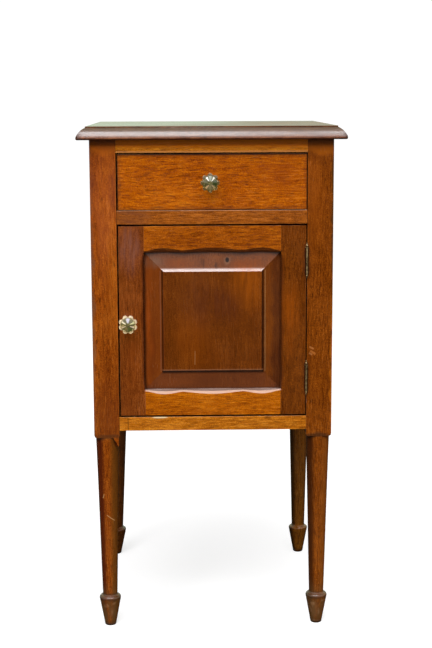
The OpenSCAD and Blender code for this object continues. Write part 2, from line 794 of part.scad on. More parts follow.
// Solid that cuts the bevel. The edge runs along +X, the wood lies at +Z and its front at
// y = 0. The bevel is worked in two flats, the outer one steeper, and is as deep as it is
// wide, times wave_slope. Both ends of the solid lie in the mitres, so that two of them
// meet cleanly in a corner of the frame.
bevel_break = [0.33, 0.45];
module wave_cut(length, end, growth) {
    over = 0.25;
    us = wave_places(length, end);
    n = len(us);
    section = [
        [1 + over * (1 - bevel_break[0]), -over * bevel_break[1]],
        bevel_break,
        [-over * bevel_break[0], 1 + over * (1 - bevel_break[1])],
        [-over, -over]
    ];
    polyhedron(
        points = [for (i = [0:n - 1], k = [0:3])
            let (w = wave_min + growth * wave(us[i], length, end, (wave_crest - wave_min) / growth),
                 y = section[k][0] * wave_slope * w, z = section[k][1] * w)
            [us[i] + (i == 0 ? -z : i == n - 1 ? z : 0), y, z]],
        faces = concat(
            [[0, 1, 3], [1, 2, 3]],
            [[4 * n - 1, 4 * n - 3, 4 * n - 4], [4 * n - 1, 4 * n - 2, 4 * n - 3]],
            [for (i = [0:n - 2], k = [0:3], h = [0, 1])
                let (a = 4 * i + k, b = 4 * i + (k + 1) % 4)
                h == 0 ? [a, a + 4, b] : [b, a + 4, b + 4]]
        ));
}

module wave_along_rail(z, up) translate([x_open0, y_front, z]) mirror([0, 0, up ? 0 : 1])
    wave_cut(x_open1 - x_open0, wave_end_rail, wave_rail);

module wave_along_stile(x, right) translate([x, y_front, z_open0]) mirror([right ? 1 : 0, 0, 0])
    rotate([0, -90, 0]) wave_cut(z_open1 - z_open0, wave_end_stile, wave_stile);

module waves_of_rails() {
    wave_along_rail(z_open0, false);
    wave_along_rail(z_open1, true);
}

// Tenons of a door rail that lies between two heights
module door_tenons(z0, z1, grow = 0) {
    deep = grow > 0 ? spare : 0;
    box([x_open0 - door_tenon - deep, groove_y - grow, z0 - grow],
        [x_open0 + lap, groove_y + groove_w + grow, z1 + grow]);
    box([x_open1 - lap, groove_y - grow, z0 - grow],
        [x_open1 + door_tenon + deep, groove_y + groove_w + grow, z1 + grow]);
}

module door_rail_top_tenons(grow = 0)
    door_tenons(z_open1 + groove_d, zd1 - door_haunch, grow);

module door_rail_bottom_tenons(grow = 0)
    door_tenons(zd0 + door_haunch, z_open0 - groove_d, grow);

// The groove round the inside of the frame
module panel_groove() {
    box([x_open0 - groove_d, groove_y, z_open0 - groove_d],
        [x_open1 + groove_d, groove_y + groove_w, z_open1 + groove_d]);
}

module door_stile(x0, x1) difference() {
    box([x0, y_front, zd0], [x1, y_door1, zd1]);
    panel_groove();
    door_rail_top_tenons(fit);
    door_rail_bottom_tenons(fit);
    children();
}

module door_stile_left() place() color(polish_dark) door_stile(x_door0, x_open0) {
    wave_along_stile(x_open0, false);
    waves_of_rails();
    out_front([x_door_knob, y_front - cut, z_door_knob])
        translate([0, 0, -door_t - 2 * cut]) cylinder(h = door_t + 2 * cut, r = knob_bolt_r + fit);
}

module door_stile_right() place() color(polish_dark) door_stile(x_open1, x_door1) {
    wave_along_stile(x_open1, true);
    waves_of_rails();
    for (z = hinge_z) box(
        [x_door1 - leaf_t, y_front - cut, z - hinge_h / 2], [x_door1 + cut, leaf_w, z + hinge_h / 2]);
    hinge_door_screw_group(run);
}

module door_rail_top() place() color(polish_gold) difference() {
    union() {
        box([x_open0, y_front, z_open1], [x_open1, y_door1, zd1]);
        door_rail_top_tenons();
    }
    panel_groove();
    wave_along_rail(z_open1, true);
}

module door_rail_bottom() place() color(polish_gold) difference() {
    union() {
        box([x_open0, y_front, zd0], [x_open1, y_door1, z_open0]);
        door_rail_bottom_tenons();
    }
    panel_groove();
    wave_along_rail(z_open0, false);
}

// Section of the panel across one direction: groove, sloping border, hollow, shoulder, field
hollow_slope = [0.15, 0.65];
function hollow_fall(t) = hollow_w * (hollow_slope[1] * t - (hollow_slope[1] - hollow_slope[0]) * t * t / 2);
function panel_half(edge, dir) = let (
    y_field = y_front + field_set, y_foot = y_field + shoulder_h, a = edge + dir * panel_border)
    concat(
        [[edge - dir * panel_in, groove_y + slip], [edge, groove_y + slip]],
        [for (i = [4:-1:0]) [a - dir * hollow_w * i / 4, y_foot + hollow_fall(i / 4)]],
        [[a + dir * shoulder_w, y_field]]
    );
function panel_section(lo, hi) = let (
    y_rear = groove_y + groove_w - slip, right = panel_half(hi, -1))
    concat(
        [[lo - panel_in, y_rear]],
        panel_half(lo, 1),
        [for (i = [len(right) - 1:-1:0]) right[i]],
        [[hi + panel_in, y_rear]]
    );

module door_panel() place() color(polish_dark) intersection() {
    translate([0, 0, z_open0 - groove_d]) linear_extrude(z_open1 - z_open0 + 2 * groove_d)
        polygon(panel_section(x_open0, x_open1));
    translate([x_open1 + groove_d, 0, 0]) rotate([0, -90, 0])
        linear_extrude(x_open1 - x_open0 + 2 * groove_d) polygon(panel_section(z_open0, z_open1));
}

// ---- Glass knobs, drawn along +Z from the wood, with the bolt in the middle ----

// Outline of the head at one height: eight blunt points, with sharp hollows between them
function ring(height, point, hollow) = [for (k = [0:7], i = [-1:2])
    let (r = i == 2 ? hollow : i == 0 ? point : 0.985 * point, a = 45 * k + (i == 2 ? 22.5 : 9 * i))
    [r * cos(a), r * sin(a), height]];

// Skirt with eight points, and on it the raised star, a ridge to each point
module knob_head() {
    rings = [
        ring(11, 7, 6.6),
        ring(skirt[0], knob_r, knob_hollow_r),
        ring(skirt[1], knob_r - 0.6, knob_hollow_r - 0.5),
        ring(skirt[1] + 1, pyramid_r + 0.3, (pyramid_r + 0.3) * star_share),
        ring(skirt[1] + 1.8, pyramid_r, pyramid_r * star_share)
    ];
    n = len(rings[0]);
    last = n * (len(rings) - 1);
    polyhedron(
        points = concat([for (r = rings, p = r) p], [[0, 0, knob_len]]),
        faces = concat(
            [[for (i = [0:n - 1]) i]],
            [for (k = [0:len(rings) - 2], i = [0:n - 1], h = [0, 1])
                let (a = n * k + i, b = n * k + (i + 1) % n)
                h == 0 ? [a, a + n, b] : [b, a + n, b + n]],
            [for (i = [0:n - 1]) [last + i, last + n, last + (i + 1) % n]]
        ));
}

module knob_glass(turn) difference() {
    union() {
        rotate([0, 0, turn]) knob_head();
        rotate_extrude() polygon([
            [0, collar_h], [6.8, collar_h], [6.8, collar_h + 1.2], [5.6, 6.2],
            [5.6, 9], [6.6, 11.4], [0, 11.4]
        ]);
    }
    cylinder(h = knob_bore + fit, r = knob_bolt_r + fit);
}

module knob_collar(gap = 0) difference() {
    rotate_extrude() polygon([
        [0, 0], [collar_r, 0], [collar_r, 0.8], [collar_r - 1, 1.6],
        [collar_r - 1, collar_h - gap], [0, collar_h - gap]
    ]);
    translate([0, 0, -cut]) cylinder(h = collar_h + 2 * cut, r = knob_bolt_r + fit);
}

// The bolt runs from the glass through wood of the given thickness, and out of its nut
module knob_bolt(wood_t) translate([0, 0, -wood_t - nut[1] - 1.5])
    cylinder(h = wood_t + nut[1] + 1.5 + knob_bore, r = knob_bolt_r);

module knob_nut(wood_t) translate([0, 0, -wood_t - nut[1]]) difference() {
    union() {
        translate([-nut[0] / 2, -nut[0] / 2, 0]) cube([nut[0], nut[0], nut[1] - 0.8]);
        translate([0, 0, nut[1] - 0.8]) cylinder(h = 0.8, r = 6.5);
    }
    translate([0, 0, -cut]) cylinder(h = nut[1] + 2 * cut, r = knob_bolt_r + fit);
}

// The tongue hangs down from the bolt behind the door, and turns across into the leg
module knob_tongue() translate([0, 0, -y_tongue + y_front - tongue_plate_t]) difference() {
    union() {
        cylinder(h = tongue_plate_t, r = 7);
        translate([-tongue_plate_w / 2, -tongue_r + 2, 0])
            cube([tongue_plate_w, tongue_r - 2, tongue_plate_t]);
        intersection() {
            cylinder(h = tongue_plate_t, r = tongue_r);
            translate([-tongue_plate_w / 2, -tongue_r, 0])
                cube([tongue_plate_w, tongue_r, tongue_plate_t]);
        }
    }
    translate([0, 0, -cut]) cylinder(h = tongue_plate_t + 2 * cut, r = knob_bolt_r + fit);
}

behind_door = y_tongue - y_front + tongue_plate_t;

module at_door_knob() place() out_front([x_door_knob, y_front, z_door_knob]) children();

module at_drawer_knob() place() out_front([drawer_knob_x, y_front, z_drawer_knob]) children();

module door_knob_glass() color(glass) at_door_knob() knob_glass(22.5);

module door_knob_collar() color(brass) at_door_knob() knob_collar(turn_gap);

module door_knob_bolt() color(brass) at_door_knob() knob_bolt(behind_door);

module door_knob_tongue() color(brass) at_door_knob() knob_tongue();

module door_knob_nut() color(brass) at_door_knob() knob_nut(behind_door);

module drawer_knob_glass() color(glass) at_drawer_knob() knob_glass(0);

module drawer_knob_collar() color(brass) at_drawer_knob() knob_collar();

module drawer_knob_bolt() color(brass) at_drawer_knob() knob_bolt(front_t);

module drawer_knob_nut() color(brass) at_drawer_knob() knob_nut(front_t);

// ---- Drawer ----

// Dovetails on the end of a board: y runs out of the board, the root is at y = 0
module tails(count, z0, z1, length, grow = 0) for (i = [0:count - 1]) {
    pitch = (z1 - z0) / count;
    mid = z0 + pitch * (i + 0.5);
    root = pitch * 0.27 + grow;
    tip = root + length * 0.16;
    polygon([[-lap, mid - root], [length + grow, mid - tip], [length + grow, mid + tip], [-lap, mid + root]]);
}

// Turns an outline drawn in (y, z) into a board that starts at x and is t thick
module board_yz(x, t) translate([x, 0, 0]) rotate([90, 0, 90]) linear_extrude(t) children();

y_drawer_back = y_drawer1 - drawer_back_t;
zw_back0 = zw0 + bottom_up + drawer_bottom_t + slip;
zw_side1 = zw1 - side_drop;
zw_back1 = zw_side1 - back_drop;

// Front tails reach forward into the drawer front, and back tails through the drawer back
module front_tails(grow = 0) translate([y_front1, 0]) mirror([1, 0])
    tails(3, zw0, zw_side1, lap_tail, grow);

module back_tails(grow = 0) translate([y_drawer_back, 0])
    tails(2, zw_back0, zw_back1, drawer_back_t, grow);

module side_at(side, grow = 0) {
    t = drawer_side_t + grow;
    x = side < 0 ? x_drawer0 - (grow > 0 ? cut : 0) : x_drawer1 - drawer_side_t - grow;
    board_yz(x, t + (grow > 0 ? cut : 0)) children();
}

module drawer_bottom_groove() box(
    [x_drawer0 + drawer_side_t - bottom_in - slip, y_front1 - bottom_in - slip, zw0 + bottom_up],
    [x_drawer1 - drawer_side_t + bottom_in + slip, y_drawer1 + cut,
     zw0 + bottom_up + drawer_bottom_t + slip]);

module drawer_front() place() color(polish_gold) difference() {
    box([x_drawer0, y_front, zw0], [x_drawer1, y_front1, zw1]);
    side_at(-1, fit) front_tails(fit);
    side_at(1, fit) front_tails(fit);
    drawer_bottom_groove();
    out_front([drawer_knob_x, y_front - cut, z_drawer_knob])
        translate([0, 0, -front_t - 2 * cut]) cylinder(h = front_t + 2 * cut, r = knob_bolt_r + fit);
}

module drawer_side(side) difference() {
    side_at(side) union() {
        translate([y_front1, zw_foot]) square([y_drawer_back - y_front1, zw_side1 - zw_foot]);
        translate([y_drawer_back - lap, zw_foot])
            square([drawer_back_t + lap, zw_back0 - zw_foot - slip]);
        front_tails();
        back_tails();
    }
    drawer_bottom_groove();
}

module drawer_side_left() place() color(bare_wood) drawer_side(-1);

module drawer_side_right() place() color(bare_wood) drawer_side(1);

module drawer_back() place() color(bare_wood) difference() {
    box([x_drawer0, y_drawer_back, zw_back0], [x_drawer1, y_drawer1, zw_back1]);
    side_at(-1, fit) back_tails(fit);
    side_at(1, fit) back_tails(fit);
    drawer_bottom_nail_group(run);
}

module drawer_bottom() place() color(bare_wood) difference() {
    box([x_drawer0 + drawer_side_t - bottom_in, y_front1 - bottom_in, zw0 + bottom_up],
        [x_drawer1 - drawer_side_t + bottom_in, y_drawer1, zw0 + bottom_up + drawer_bottom_t]);
    drawer_bottom_nail_group(run);
}

module drawer_bottom_nail_group(grow = 0) for (k = [-0.57, 0, 0.57])
    translate([k * x_in, y_drawer1 - drawer_back_t / 2, zw0 + bottom_up]) nail(drawer_bottom_t + bottom_nail_hold, grow);

module drawer_bottom_nails() place() color(steel) drawer_bottom_nail_group();

// ---- The pieces ----

top_board();
leg_front_left();
leg_front_right();
leg_back_left();
leg_back_right();
front_top_rail();
drawer_rail();
front_bottom_rail();
back_top_rail();
back_bottom_rail();
side_board_left();
side_board_right();
back_board();
cupboard_floor();
floor_bearer_left();
floor_bearer_right();
drawer_runner_left();
drawer_runner_right();
drawer_guide_left();
drawer_guide_right();
drawer_kicker_left();
drawer_kicker_right();
dust_board();
drawer_stops();
door_stops();
top_screws();
back_nails();
hinge_leaf_leg_upper();
hinge_leaf_leg_lower();
hinge_pin_upper();
hinge_pin_lower();
hinge_leg_screws();
catch_plate();
catch_plate_nails();
door_stile_left();
door_stile_right();
door_rail_top();
door_rail_bottom();
door_panel();
hinge_leaf_door_upper();
hinge_leaf_door_lower();
hinge_door_screws();
door_knob_glass();
door_knob_collar();
door_knob_bolt();
door_knob_tongue();
door_knob_nut();
drawer_front();
drawer_side_left();
drawer_side_right();
drawer_back();
drawer_bottom();
drawer_bottom_nails();
drawer_knob_glass();
drawer_knob_collar();
drawer_knob_bolt();
drawer_knob_nut();
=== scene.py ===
import math

import bpy
from mathutils import Matrix, Vector


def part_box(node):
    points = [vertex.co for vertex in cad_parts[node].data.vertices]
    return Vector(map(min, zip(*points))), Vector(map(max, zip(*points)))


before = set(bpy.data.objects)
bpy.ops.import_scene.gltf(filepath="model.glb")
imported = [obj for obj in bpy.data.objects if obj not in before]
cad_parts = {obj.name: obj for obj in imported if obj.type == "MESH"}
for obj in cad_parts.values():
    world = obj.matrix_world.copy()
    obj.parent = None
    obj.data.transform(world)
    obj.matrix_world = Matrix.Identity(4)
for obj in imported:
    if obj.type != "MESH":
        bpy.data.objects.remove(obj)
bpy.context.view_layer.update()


# ---- Legs ----
# Each leg is one mahogany post, square where the rails and boards join it and turned
# below, down to a spear foot. They are shellac polished. Floor wax and shoes have
# darkened the feet, and the front legs carry small pale scratches.

def shade(red, green, blue):
    """A colour as it looks on a screen, 0 to 255, made linear for the shaders."""
    def linear(level):
        level = level / 255
        return level / 12.92 if level <= 0.04045 else ((level + 0.055) / 1.055) ** 2.4
    return (linear(red), linear(green), linear(blue), 1.0)


def darkened(colour, share):
    """A linear colour brought down to a share of itself."""
    red, green, blue, alpha = colour
    return (share * red, share * green, share * blue, alpha)


def add(tree, kind, inputs=None, **settings):
    """Adds a node, sets its settings, and links or fills its inputs."""
    node = tree.nodes.new(kind)
    for key, value in settings.items():
        setattr(node, key, value)
    for key, value in (inputs or {}).items():
        if isinstance(value, bpy.types.NodeSocket):
            tree.links.new(value, node.inputs[key])
        else:
            node.inputs[key].default_value = value
    return node


def new_finish(name):
    """An empty material with one Principled shader, its tree, and that shader."""
    finish = bpy.data.materials.new(name)
    finish.use_nodes = True
    shader = finish.node_tree.nodes["Principled BSDF"]
    return finish, finish.node_tree, shader


def finished(tree, shader, colour, dull, skin):
    """Gives a shader its colour, its roughness and the relief of its surface."""
    tree.links.new(colour, shader.inputs["Base Color"])
    tree.links.new(dull, shader.inputs["Roughness"])
    tree.links.new(skin, shader.inputs["Normal"])


def maths(tree, operation, first, second=0.0, third=0.0):
    """The result of one operation on numbers."""
    return add(tree, "ShaderNodeMath", {0: first, 1: second, 2: third},
               operation=operation).outputs[0]


def vector_maths(tree, operation, *vectors):
    """The vector that one operation gives, or its number where it gives a number."""
    node = add(tree, "ShaderNodeVectorMath", dict(enumerate(vectors)), operation=operation)
    gives_number = operation in ("LENGTH", "DISTANCE", "DOT_PRODUCT")
    return node.outputs["Value" if gives_number else "Vector"]


def parts(tree, vector):
    """The X, Y and Z of a vector."""
    return add(tree, "ShaderNodeSeparateXYZ", {0: vector}).outputs


def object_place(tree):
    """Where a point lies on its piece at rest, in metres."""
    return add(tree, "ShaderNodeTexCoord").outputs["Object"]


def object_facing(tree):
    """Which way the surface faces on its piece at rest: X, Y and Z."""
    normal = add(tree, "ShaderNodeNewGeometry").outputs["Normal"]
    turned = add(tree, "ShaderNodeVectorTransform", {0: normal}, vector_type="NORMAL",
                 convert_from="WORLD", convert_to="OBJECT")
    return parts(tree, turned.outputs[0])


def stretched(tree, place, grain, along, across, seed):
    """Coordinates drawn out along the grain: cycles per metre along it and across it."""
    scale = [across, across, across]
    scale["xyz".index(grain)] = along
    shift = (seed * 3.17, seed * 5.41, seed * 7.93)
    return add(tree, "ShaderNodeMapping",
               {"Vector": place, "Scale": scale, "Location": shift}).outputs["Vector"]


def noise(tree, vector, detail, roughness=0.55):
    """Soft random grey, mostly between 0.3 and 0.7."""
    return add(tree, "ShaderNodeTexNoise",
               {"Vector": vector, "Scale": 1.0, "Detail": detail,
                "Roughness": roughness}).outputs["Fac"]


def wandering(tree, place, grain, along, across, seed, sway):
    """Coordinates that sway by up to so many metres, so that no grain is straight."""
    drift = add(tree, "ShaderNodeTexNoise",
                {"Vector": stretched(tree, place, grain, along, across, seed),
                 "Scale": 1.0, "Detail": 2.0}).outputs["Color"]
    return vector_maths(tree, "MULTIPLY_ADD", drift, (sway, sway, sway), place)


def spread(tree, value, low, high, to_low=0.0, to_high=1.0):
    """Remaps a value smoothly from low..high to to_low..to_high, and holds it there."""
    return add(tree, "ShaderNodeMapRange",
               {"Value": value, "From Min": low, "From Max": high,
                "To Min": to_low, "To Max": to_high},
               interpolation_type="SMOOTHSTEP").outputs["Result"]


def tint(tree, amount, under, over):
    """Lays one colour over another by an amount. A Mix node's colours are 6 and 7."""
    return add(tree, "ShaderNodeMix", {0: amount, 6: under, 7: over},
               data_type="RGBA").outputs[2]


def lay(tree, under, over, where, strength):
    """Lays one colour over another where a mask is 1, by a strength."""
    return tint(tree, maths(tree, "MULTIPLY", where, strength), under, over)


def three_tones(tree, tone, edge, deep, middle, bright):
    """Colours a tone: deep up to edge, middle at a half, and bright from 1 - edge."""
    ramp = add(tree, "ShaderNodeValToRGB", {"Fac": tone})
    stops = ramp.color_ramp.elements
    stops[0].position, stops[0].color = edge, deep
    stops[1].position, stops[1].color = 1.0 - edge, bright
    stops.new(0.5).color = middle
    return ramp.outputs["Color"]


def open_air(tree, reach):
    """1 in the open, and less where other surfaces stand within reach, in metres."""
    return add(tree, "ShaderNodeAmbientOcclusion", {"Distance": reach}, samples=6,
               only_local=False).outputs["AO"]


def relief(tree, height, strength, depth, **under):
    """The surface's normal, made uneven by a height, so many metres deep."""
    return add(tree, "ShaderNodeBump", {"Height": height, "Strength": strength,
                                        "Distance": depth, **under}).outputs["Normal"]


def spot(tree, place, centre, reach, soft):
    """1 inside a soft ellipsoid round centre, in metres, and 0 outside it."""
    offset = vector_maths(tree, "SUBTRACT", place, centre)
    far = vector_maths(tree, "LENGTH", vector_maths(tree, "DIVIDE", offset, reach))
    return spread(tree, far, 1.0 - soft, 1.0 + soft, 1.0, 0.0)


def scratch(tree, place, start, end, width):
    """1 along a thin line from start to end, and 0 elsewhere. Depth counts for less."""
    flat = Vector((1.0, 0.25, 1.0))
    start, end = Vector(start) * flat, Vector(end) * flat
    along = end - start
    offset = vector_maths(tree, "SUBTRACT", vector_maths(tree, "MULTIPLY", place, flat), start)
    share = vector_maths(tree, "DOT_PRODUCT", offset, along / along.length_squared)
    share = add(tree, "ShaderNodeClamp", {"Value": share}).outputs[0]
    nearest = vector_maths(tree, "MULTIPLY", share, along)
    far = vector_maths(tree, "DISTANCE", offset, nearest)
    return spread(tree, far, 0.3 * width, 0.8 * width, 1.0, 0.0)


def grain_layers(tree, place, grain, seed):
    """The layers of mahogany: its grain, from broad bands to fine pits, and the patches
    and hollows that tools and wear leave."""
    bent = wandering(tree, place, grain, 3.0, 11.0, seed, 0.022)

    def layer(along, across, step, detail, where=bent, roughness=0.55):
        """One layer: cycles per metre along and across the grain."""
        return noise(tree, stretched(tree, where, grain, along, across, seed + step),
                     detail, roughness)

    pores = layer(95.0, 1500.0, 3, 1.0)
    return {
        "bands": layer(1.6, 30.0, 1, 3.0),
        "lines": layer(45.0, 480.0, 2, 2.0, roughness=0.6),
        "pits": spread(tree, pores, 0.43, 0.34),
        "ribbons": layer(60.0, 24.0, 4, 2.0, place),
        "clouds": layer(7.0, 13.0, 5, 3.0, place),
        "patches": layer(40.0, 90.0, 6, 3.0, place),
        "flecks": layer(620.0, 800.0, 7, 1.0),
        "handwork": layer(14.0, 26.0, 8, 2.0, place),
        "dashes": layer(75.0, 620.0, 9, 1.0),
        "tears": layer(14.0, 170.0, 11, 2.0)}


def grain_colour(tree, layers, deep, middle, bright, figure=1.0, streak=1.0, mottle=1.0,
                 cloud=1.0, fleck=1.0, dash=1.0):
    """The wood's own colour from its layers, each by its weight, with dark pits."""
    tone = maths(tree, "MULTIPLY_ADD", layers["bands"], 0.5 * figure, 0.5 - 0.25 * figure)
    for name, amount in (("lines", 1.1 * streak), ("flecks", 0.95 * fleck),
                         ("ribbons", 0.3 * mottle), ("clouds", 0.5 * cloud)):
        weighed = maths(tree, "MULTIPLY_ADD", layers[name], amount, -0.5 * amount)
        tone = maths(tree, "ADD", tone, weighed)
    colour = three_tones(tree, tone, 0.12, deep, middle, bright)
    dashes = maths(tree, "MULTIPLY", spread(tree, layers["dashes"], 0.6, 0.7), 0.55 * dash)
    specks = maths(tree, "MAXIMUM", maths(tree, "MULTIPLY", layers["pits"], 0.4), dashes)
    return tint(tree, specks, colour, darkened(deep, 0.3))


def painted_light_by_facing(tree, place, colour, sides, below):
    """Paints light and shade on the faces that turn one way, below a height where given."""
    facing = object_facing(tree)
    height = parts(tree, place)["Z"]
    for axis, start, full, side, strength in sides:
        here = spread(tree, facing[axis], start, full)
        if below:
            here = maths(tree, "MULTIPLY", here, spread(tree, height, below + 0.002, below))
        colour = lay(tree, colour, side, here, strength)
    return colour


def frayed(tree, place):
    """Coordinates that shake by up to 7 mm, for marks with ragged edges."""
    shake = 0.007
    jitter = add(tree, "ShaderNodeTexNoise", {"Vector": place, "Scale": 45.0, "Detail": 3.0})
    ragged = vector_maths(tree, "MULTIPLY_ADD", jitter.outputs["Color"], (2 * shake,) * 3, place)
    return vector_maths(tree, "SUBTRACT", ragged, (shake,) * 3)


def marked(tree, place, ragged, torn, colour, marks, scratches):
    """Lays marks and scratches over a colour. Soft marks have ragged edges, and the
    softest are torn along the grain too."""
    for centre, reach, mark, strength, soft in marks:
        here = spot(tree, place if soft < 0.3 else ragged, centre, reach, soft)
        if soft > 0.5:
            here = maths(tree, "MULTIPLY", here, torn)
        colour = lay(tree, colour, mark, here, strength)
    for start, end, width, mark, strength in scratches:
        colour = lay(tree, colour, mark, scratch(tree, place, start, end, width), strength)
    return colour


def aged_and_shaded(tree, patches, colour, deep, bright, wear, dirt_and_shade):
    """Dirt and painted shade in the corners and on the faces turned down, and polish rubbed
    thin on the edges. Gives the colour, and how dirty and shaded each point is."""
    normal = add(tree, "ShaderNodeNewGeometry").outputs["Normal"]
    air = open_air(tree, 0.009)
    # painted shade on the faces turned down; in the corners, soiling and painted shade together
    shade_underneath = spread(tree, parts(tree, normal)["Z"], -0.26, -0.5, 0.0, 0.85)
    grime_and_shade = maths(tree, "MAXIMUM", spread(tree, air, 0.85, 0.3), shade_underneath)
    grime_and_shade = maths(tree, "MULTIPLY", grime_and_shade, dirt_and_shade)
    colour = tint(tree, grime_and_shade, colour, darkened(deep, 0.1))
    rounded = add(tree, "ShaderNodeBevel", {"Radius": 0.0014}, samples=4).outputs["Normal"]
    edge = spread(tree, vector_maths(tree, "DOT_PRODUCT", rounded, normal), 0.985, 0.86)
    rubbed = maths(tree, "MULTIPLY", edge, spread(tree, air, 0.55, 0.9))
    rubbed = maths(tree, "MULTIPLY", rubbed, spread(tree, patches, 0.38, 0.62, 0.15, 1.0))
    thin_polish = tuple(min(1.0, 1.4 * level + 0.02) for level in bright[:3]) + (1.0,)
    return lay(tree, colour, thin_polish, rubbed, wear), grime_and_shade


def mahogany(name, grain, deep, middle, bright, seed, rough=0.26, coat=0.25, wear=0.4,
             dirt_and_shade=0.95, sides=(), below=None, marks=(), scratches=(), matt=(), **weights):
    """Shellac polished mahogany. Sides paint light and shade on the faces that turn one
    way: (axis, the normal's part along it where the colour starts and is full, colour,
    strength). Marks are (centre, reach, colour, strength, softness), scratches are (start,
    end, width, colour, strength), and places where the polish has gone matt are (centre,
    reach, strength); some marks and scratches are painted light and shade. Weights are
    those of the grain's layers, and dirt_and_shade sets how dirty and shaded the corners
    and the faces turned down are."""
    finish, tree, shader = new_finish(name)
    place = object_place(tree)
    layers = grain_layers(tree, place, grain, seed)
    ragged = frayed(tree, place)
    torn = spread(tree, layers["tears"], 0.36, 0.6, 0.45, 1.0)
    colour = grain_colour(tree, layers, deep, middle, bright, **weights)
    colour = painted_light_by_facing(tree, place, colour, sides, below)
    colour = marked(tree, place, ragged, torn, colour, marks, scratches)
    colour, grime_and_shade = aged_and_shaded(tree, layers["patches"], colour, deep, bright, wear, dirt_and_shade)

    dull = maths(tree, "MULTIPLY_ADD", layers["clouds"], 0.3, rough - 0.21)
    dull = maths(tree, "MULTIPLY_ADD", grime_and_shade, 0.3, dull)
    dull = maths(tree, "MULTIPLY_ADD", layers["lines"], 0.12, dull)
    shader.inputs["Coat Weight"].default_value = coat
    if matt:
        worn = 0.0
        for centre, reach, strength in matt:
            here = maths(tree, "MULTIPLY", spot(tree, ragged, centre, reach, 0.7), torn)
            worn = maths(tree, "MAXIMUM", worn, maths(tree, "MULTIPLY", here, strength))
        dull = maths(tree, "MULTIPLY_ADD", worn, 0.25, dull)
        tree.links.new(maths(tree, "MULTIPLY_ADD", worn, -coat, coat),
                       shader.inputs["Coat Weight"])
    grooves = maths(tree, "SUBTRACT", maths(tree, "MULTIPLY", layers["lines"], 0.5),
                    layers["pits"])
    skin = relief(tree, grooves, 0.35, 0.00012)
    skin = relief(tree, layers["handwork"], 0.5, 0.0006, Normal=skin)
    finished(tree, shader, colour, dull, skin)
    shader.inputs["Specular IOR Level"].default_value = 0.3
    shader.inputs["Coat Roughness"].default_value = 0.1
    return finish


def joined_faces(sharp):
    """Joins the faces of a CAD solid, crisp where they meet at more degrees than sharp.
    Its corners may be eased, apart from the short edges round nail and screw holes."""
    shortest_eased = 0.003
    corner_turn = 38
    group = bpy.data.node_groups.new("Crisp over %d degrees" % sharp, "GeometryNodeTree")
    group.interface.new_socket("Geometry", in_out="INPUT", socket_type="NodeSocketGeometry")
    group.interface.new_socket("Geometry", in_out="OUTPUT", socket_type="NodeSocketGeometry")

    def over(value, limit):
        """True where a value is over a limit."""
        return add(group, "FunctionNodeCompare", {0: value, 1: limit},
                   data_type="FLOAT", operation="GREATER_THAN").outputs[0]

    solid = add(group, "NodeGroupInput")
    joined = add(group, "GeometryNodeMergeByDistance",
                 {"Geometry": solid.outputs[0], "Distance": 0.00001})
    turn = add(group, "GeometryNodeInputMeshEdgeAngle").outputs["Unsigned Angle"]
    shaded = add(group, "GeometryNodeSetMeshNormal",
                 {"Mesh": joined.outputs[0], "Edge Sharpness": over(turn, math.radians(sharp))},
                 mode="SHARPNESS")
    ends = add(group, "GeometryNodeInputMeshEdgeVertices").outputs
    length = vector_maths(group, "DISTANCE", ends["Position 1"], ends["Position 2"])
    eased = add(group, "FunctionNodeBooleanMath",
                {0: over(length, shortest_eased), 1: over(turn, math.radians(corner_turn))},
                operation="AND").outputs[0]
    kept = add(group, "GeometryNodeStoreNamedAttribute",
               {"Geometry": shaded.outputs[0], "Name": "bevel_weight_edge", "Value": eased},
               data_type="FLOAT", domain="EDGE")
    add(group, "NodeGroupOutput", {0: kept.outputs[0]})
    return group


soft_faces = joined_faces(30)


def dress(nodes, finish, ease=0.0005, faces=soft_faces):
    """Gives CAD nodes their finish, and eases their edges by so many metres."""
    for node in nodes:
        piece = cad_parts[node]
        for slot in piece.material_slots:
            slot.material = finish
        join = piece.modifiers.new("Joined faces", "NODES")
        join.node_group = faces
        if ease:
            eased = piece.modifiers.new("Eased edges", "BEVEL")
            eased.width = ease
            eased.segments = 2
            eased.limit_method = "WEIGHT"
            eased.harden_normals = True


def front(node):
    """A function for places on a node: to the right of its middle, up from its foot and
    behind its front."""
    low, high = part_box(node)

    def at(right, up, behind=0.0):
        return ((low.x + high.x) / 2 + right, low.y + behind, low.z + up)
    return at


turned_top = 0.300
worn_foot = shade(108, 76, 40)
foot_rim = shade(46, 36, 28)
foot_chip = shade(140, 100, 66)
pale_rub = shade(190, 142, 100)
# pale: real scratches on the legs and panel, and painted highlights on the panel's shoulder
pale_scratch_and_highlight = shade(214, 164, 104)


def foot_marks(at):
    """Wear of a front foot: a brown body, a dark rim above it and pale rubs."""
    return (
        (at(0, 0.0240, 0.019), (0.030, 0.030, 0.036), worn_foot, 0.7, 0.55),
        (at(0, 0.0465, 0.019), (0.030, 0.030, 0.0050), foot_rim, 0.6, 0.5),
        (at(0, 0.0030, 0.006), (0.010, 0.020, 0.0035), pale_rub, 0.5, 0.6),
        (at(-0.006, 0.0330, 0.004), (0.003, 0.006, 0.0030), pale_rub, 0.35, 0.6),
        (at(0.003, 0.0220, 0.004), (0.002, 0.006, 0.0045), pale_rub, 0.3, 0.6),
        (at(0.007, 0.0380, 0.004), (0.003, 0.006, 0.0020), pale_rub, 0.35, 0.6))


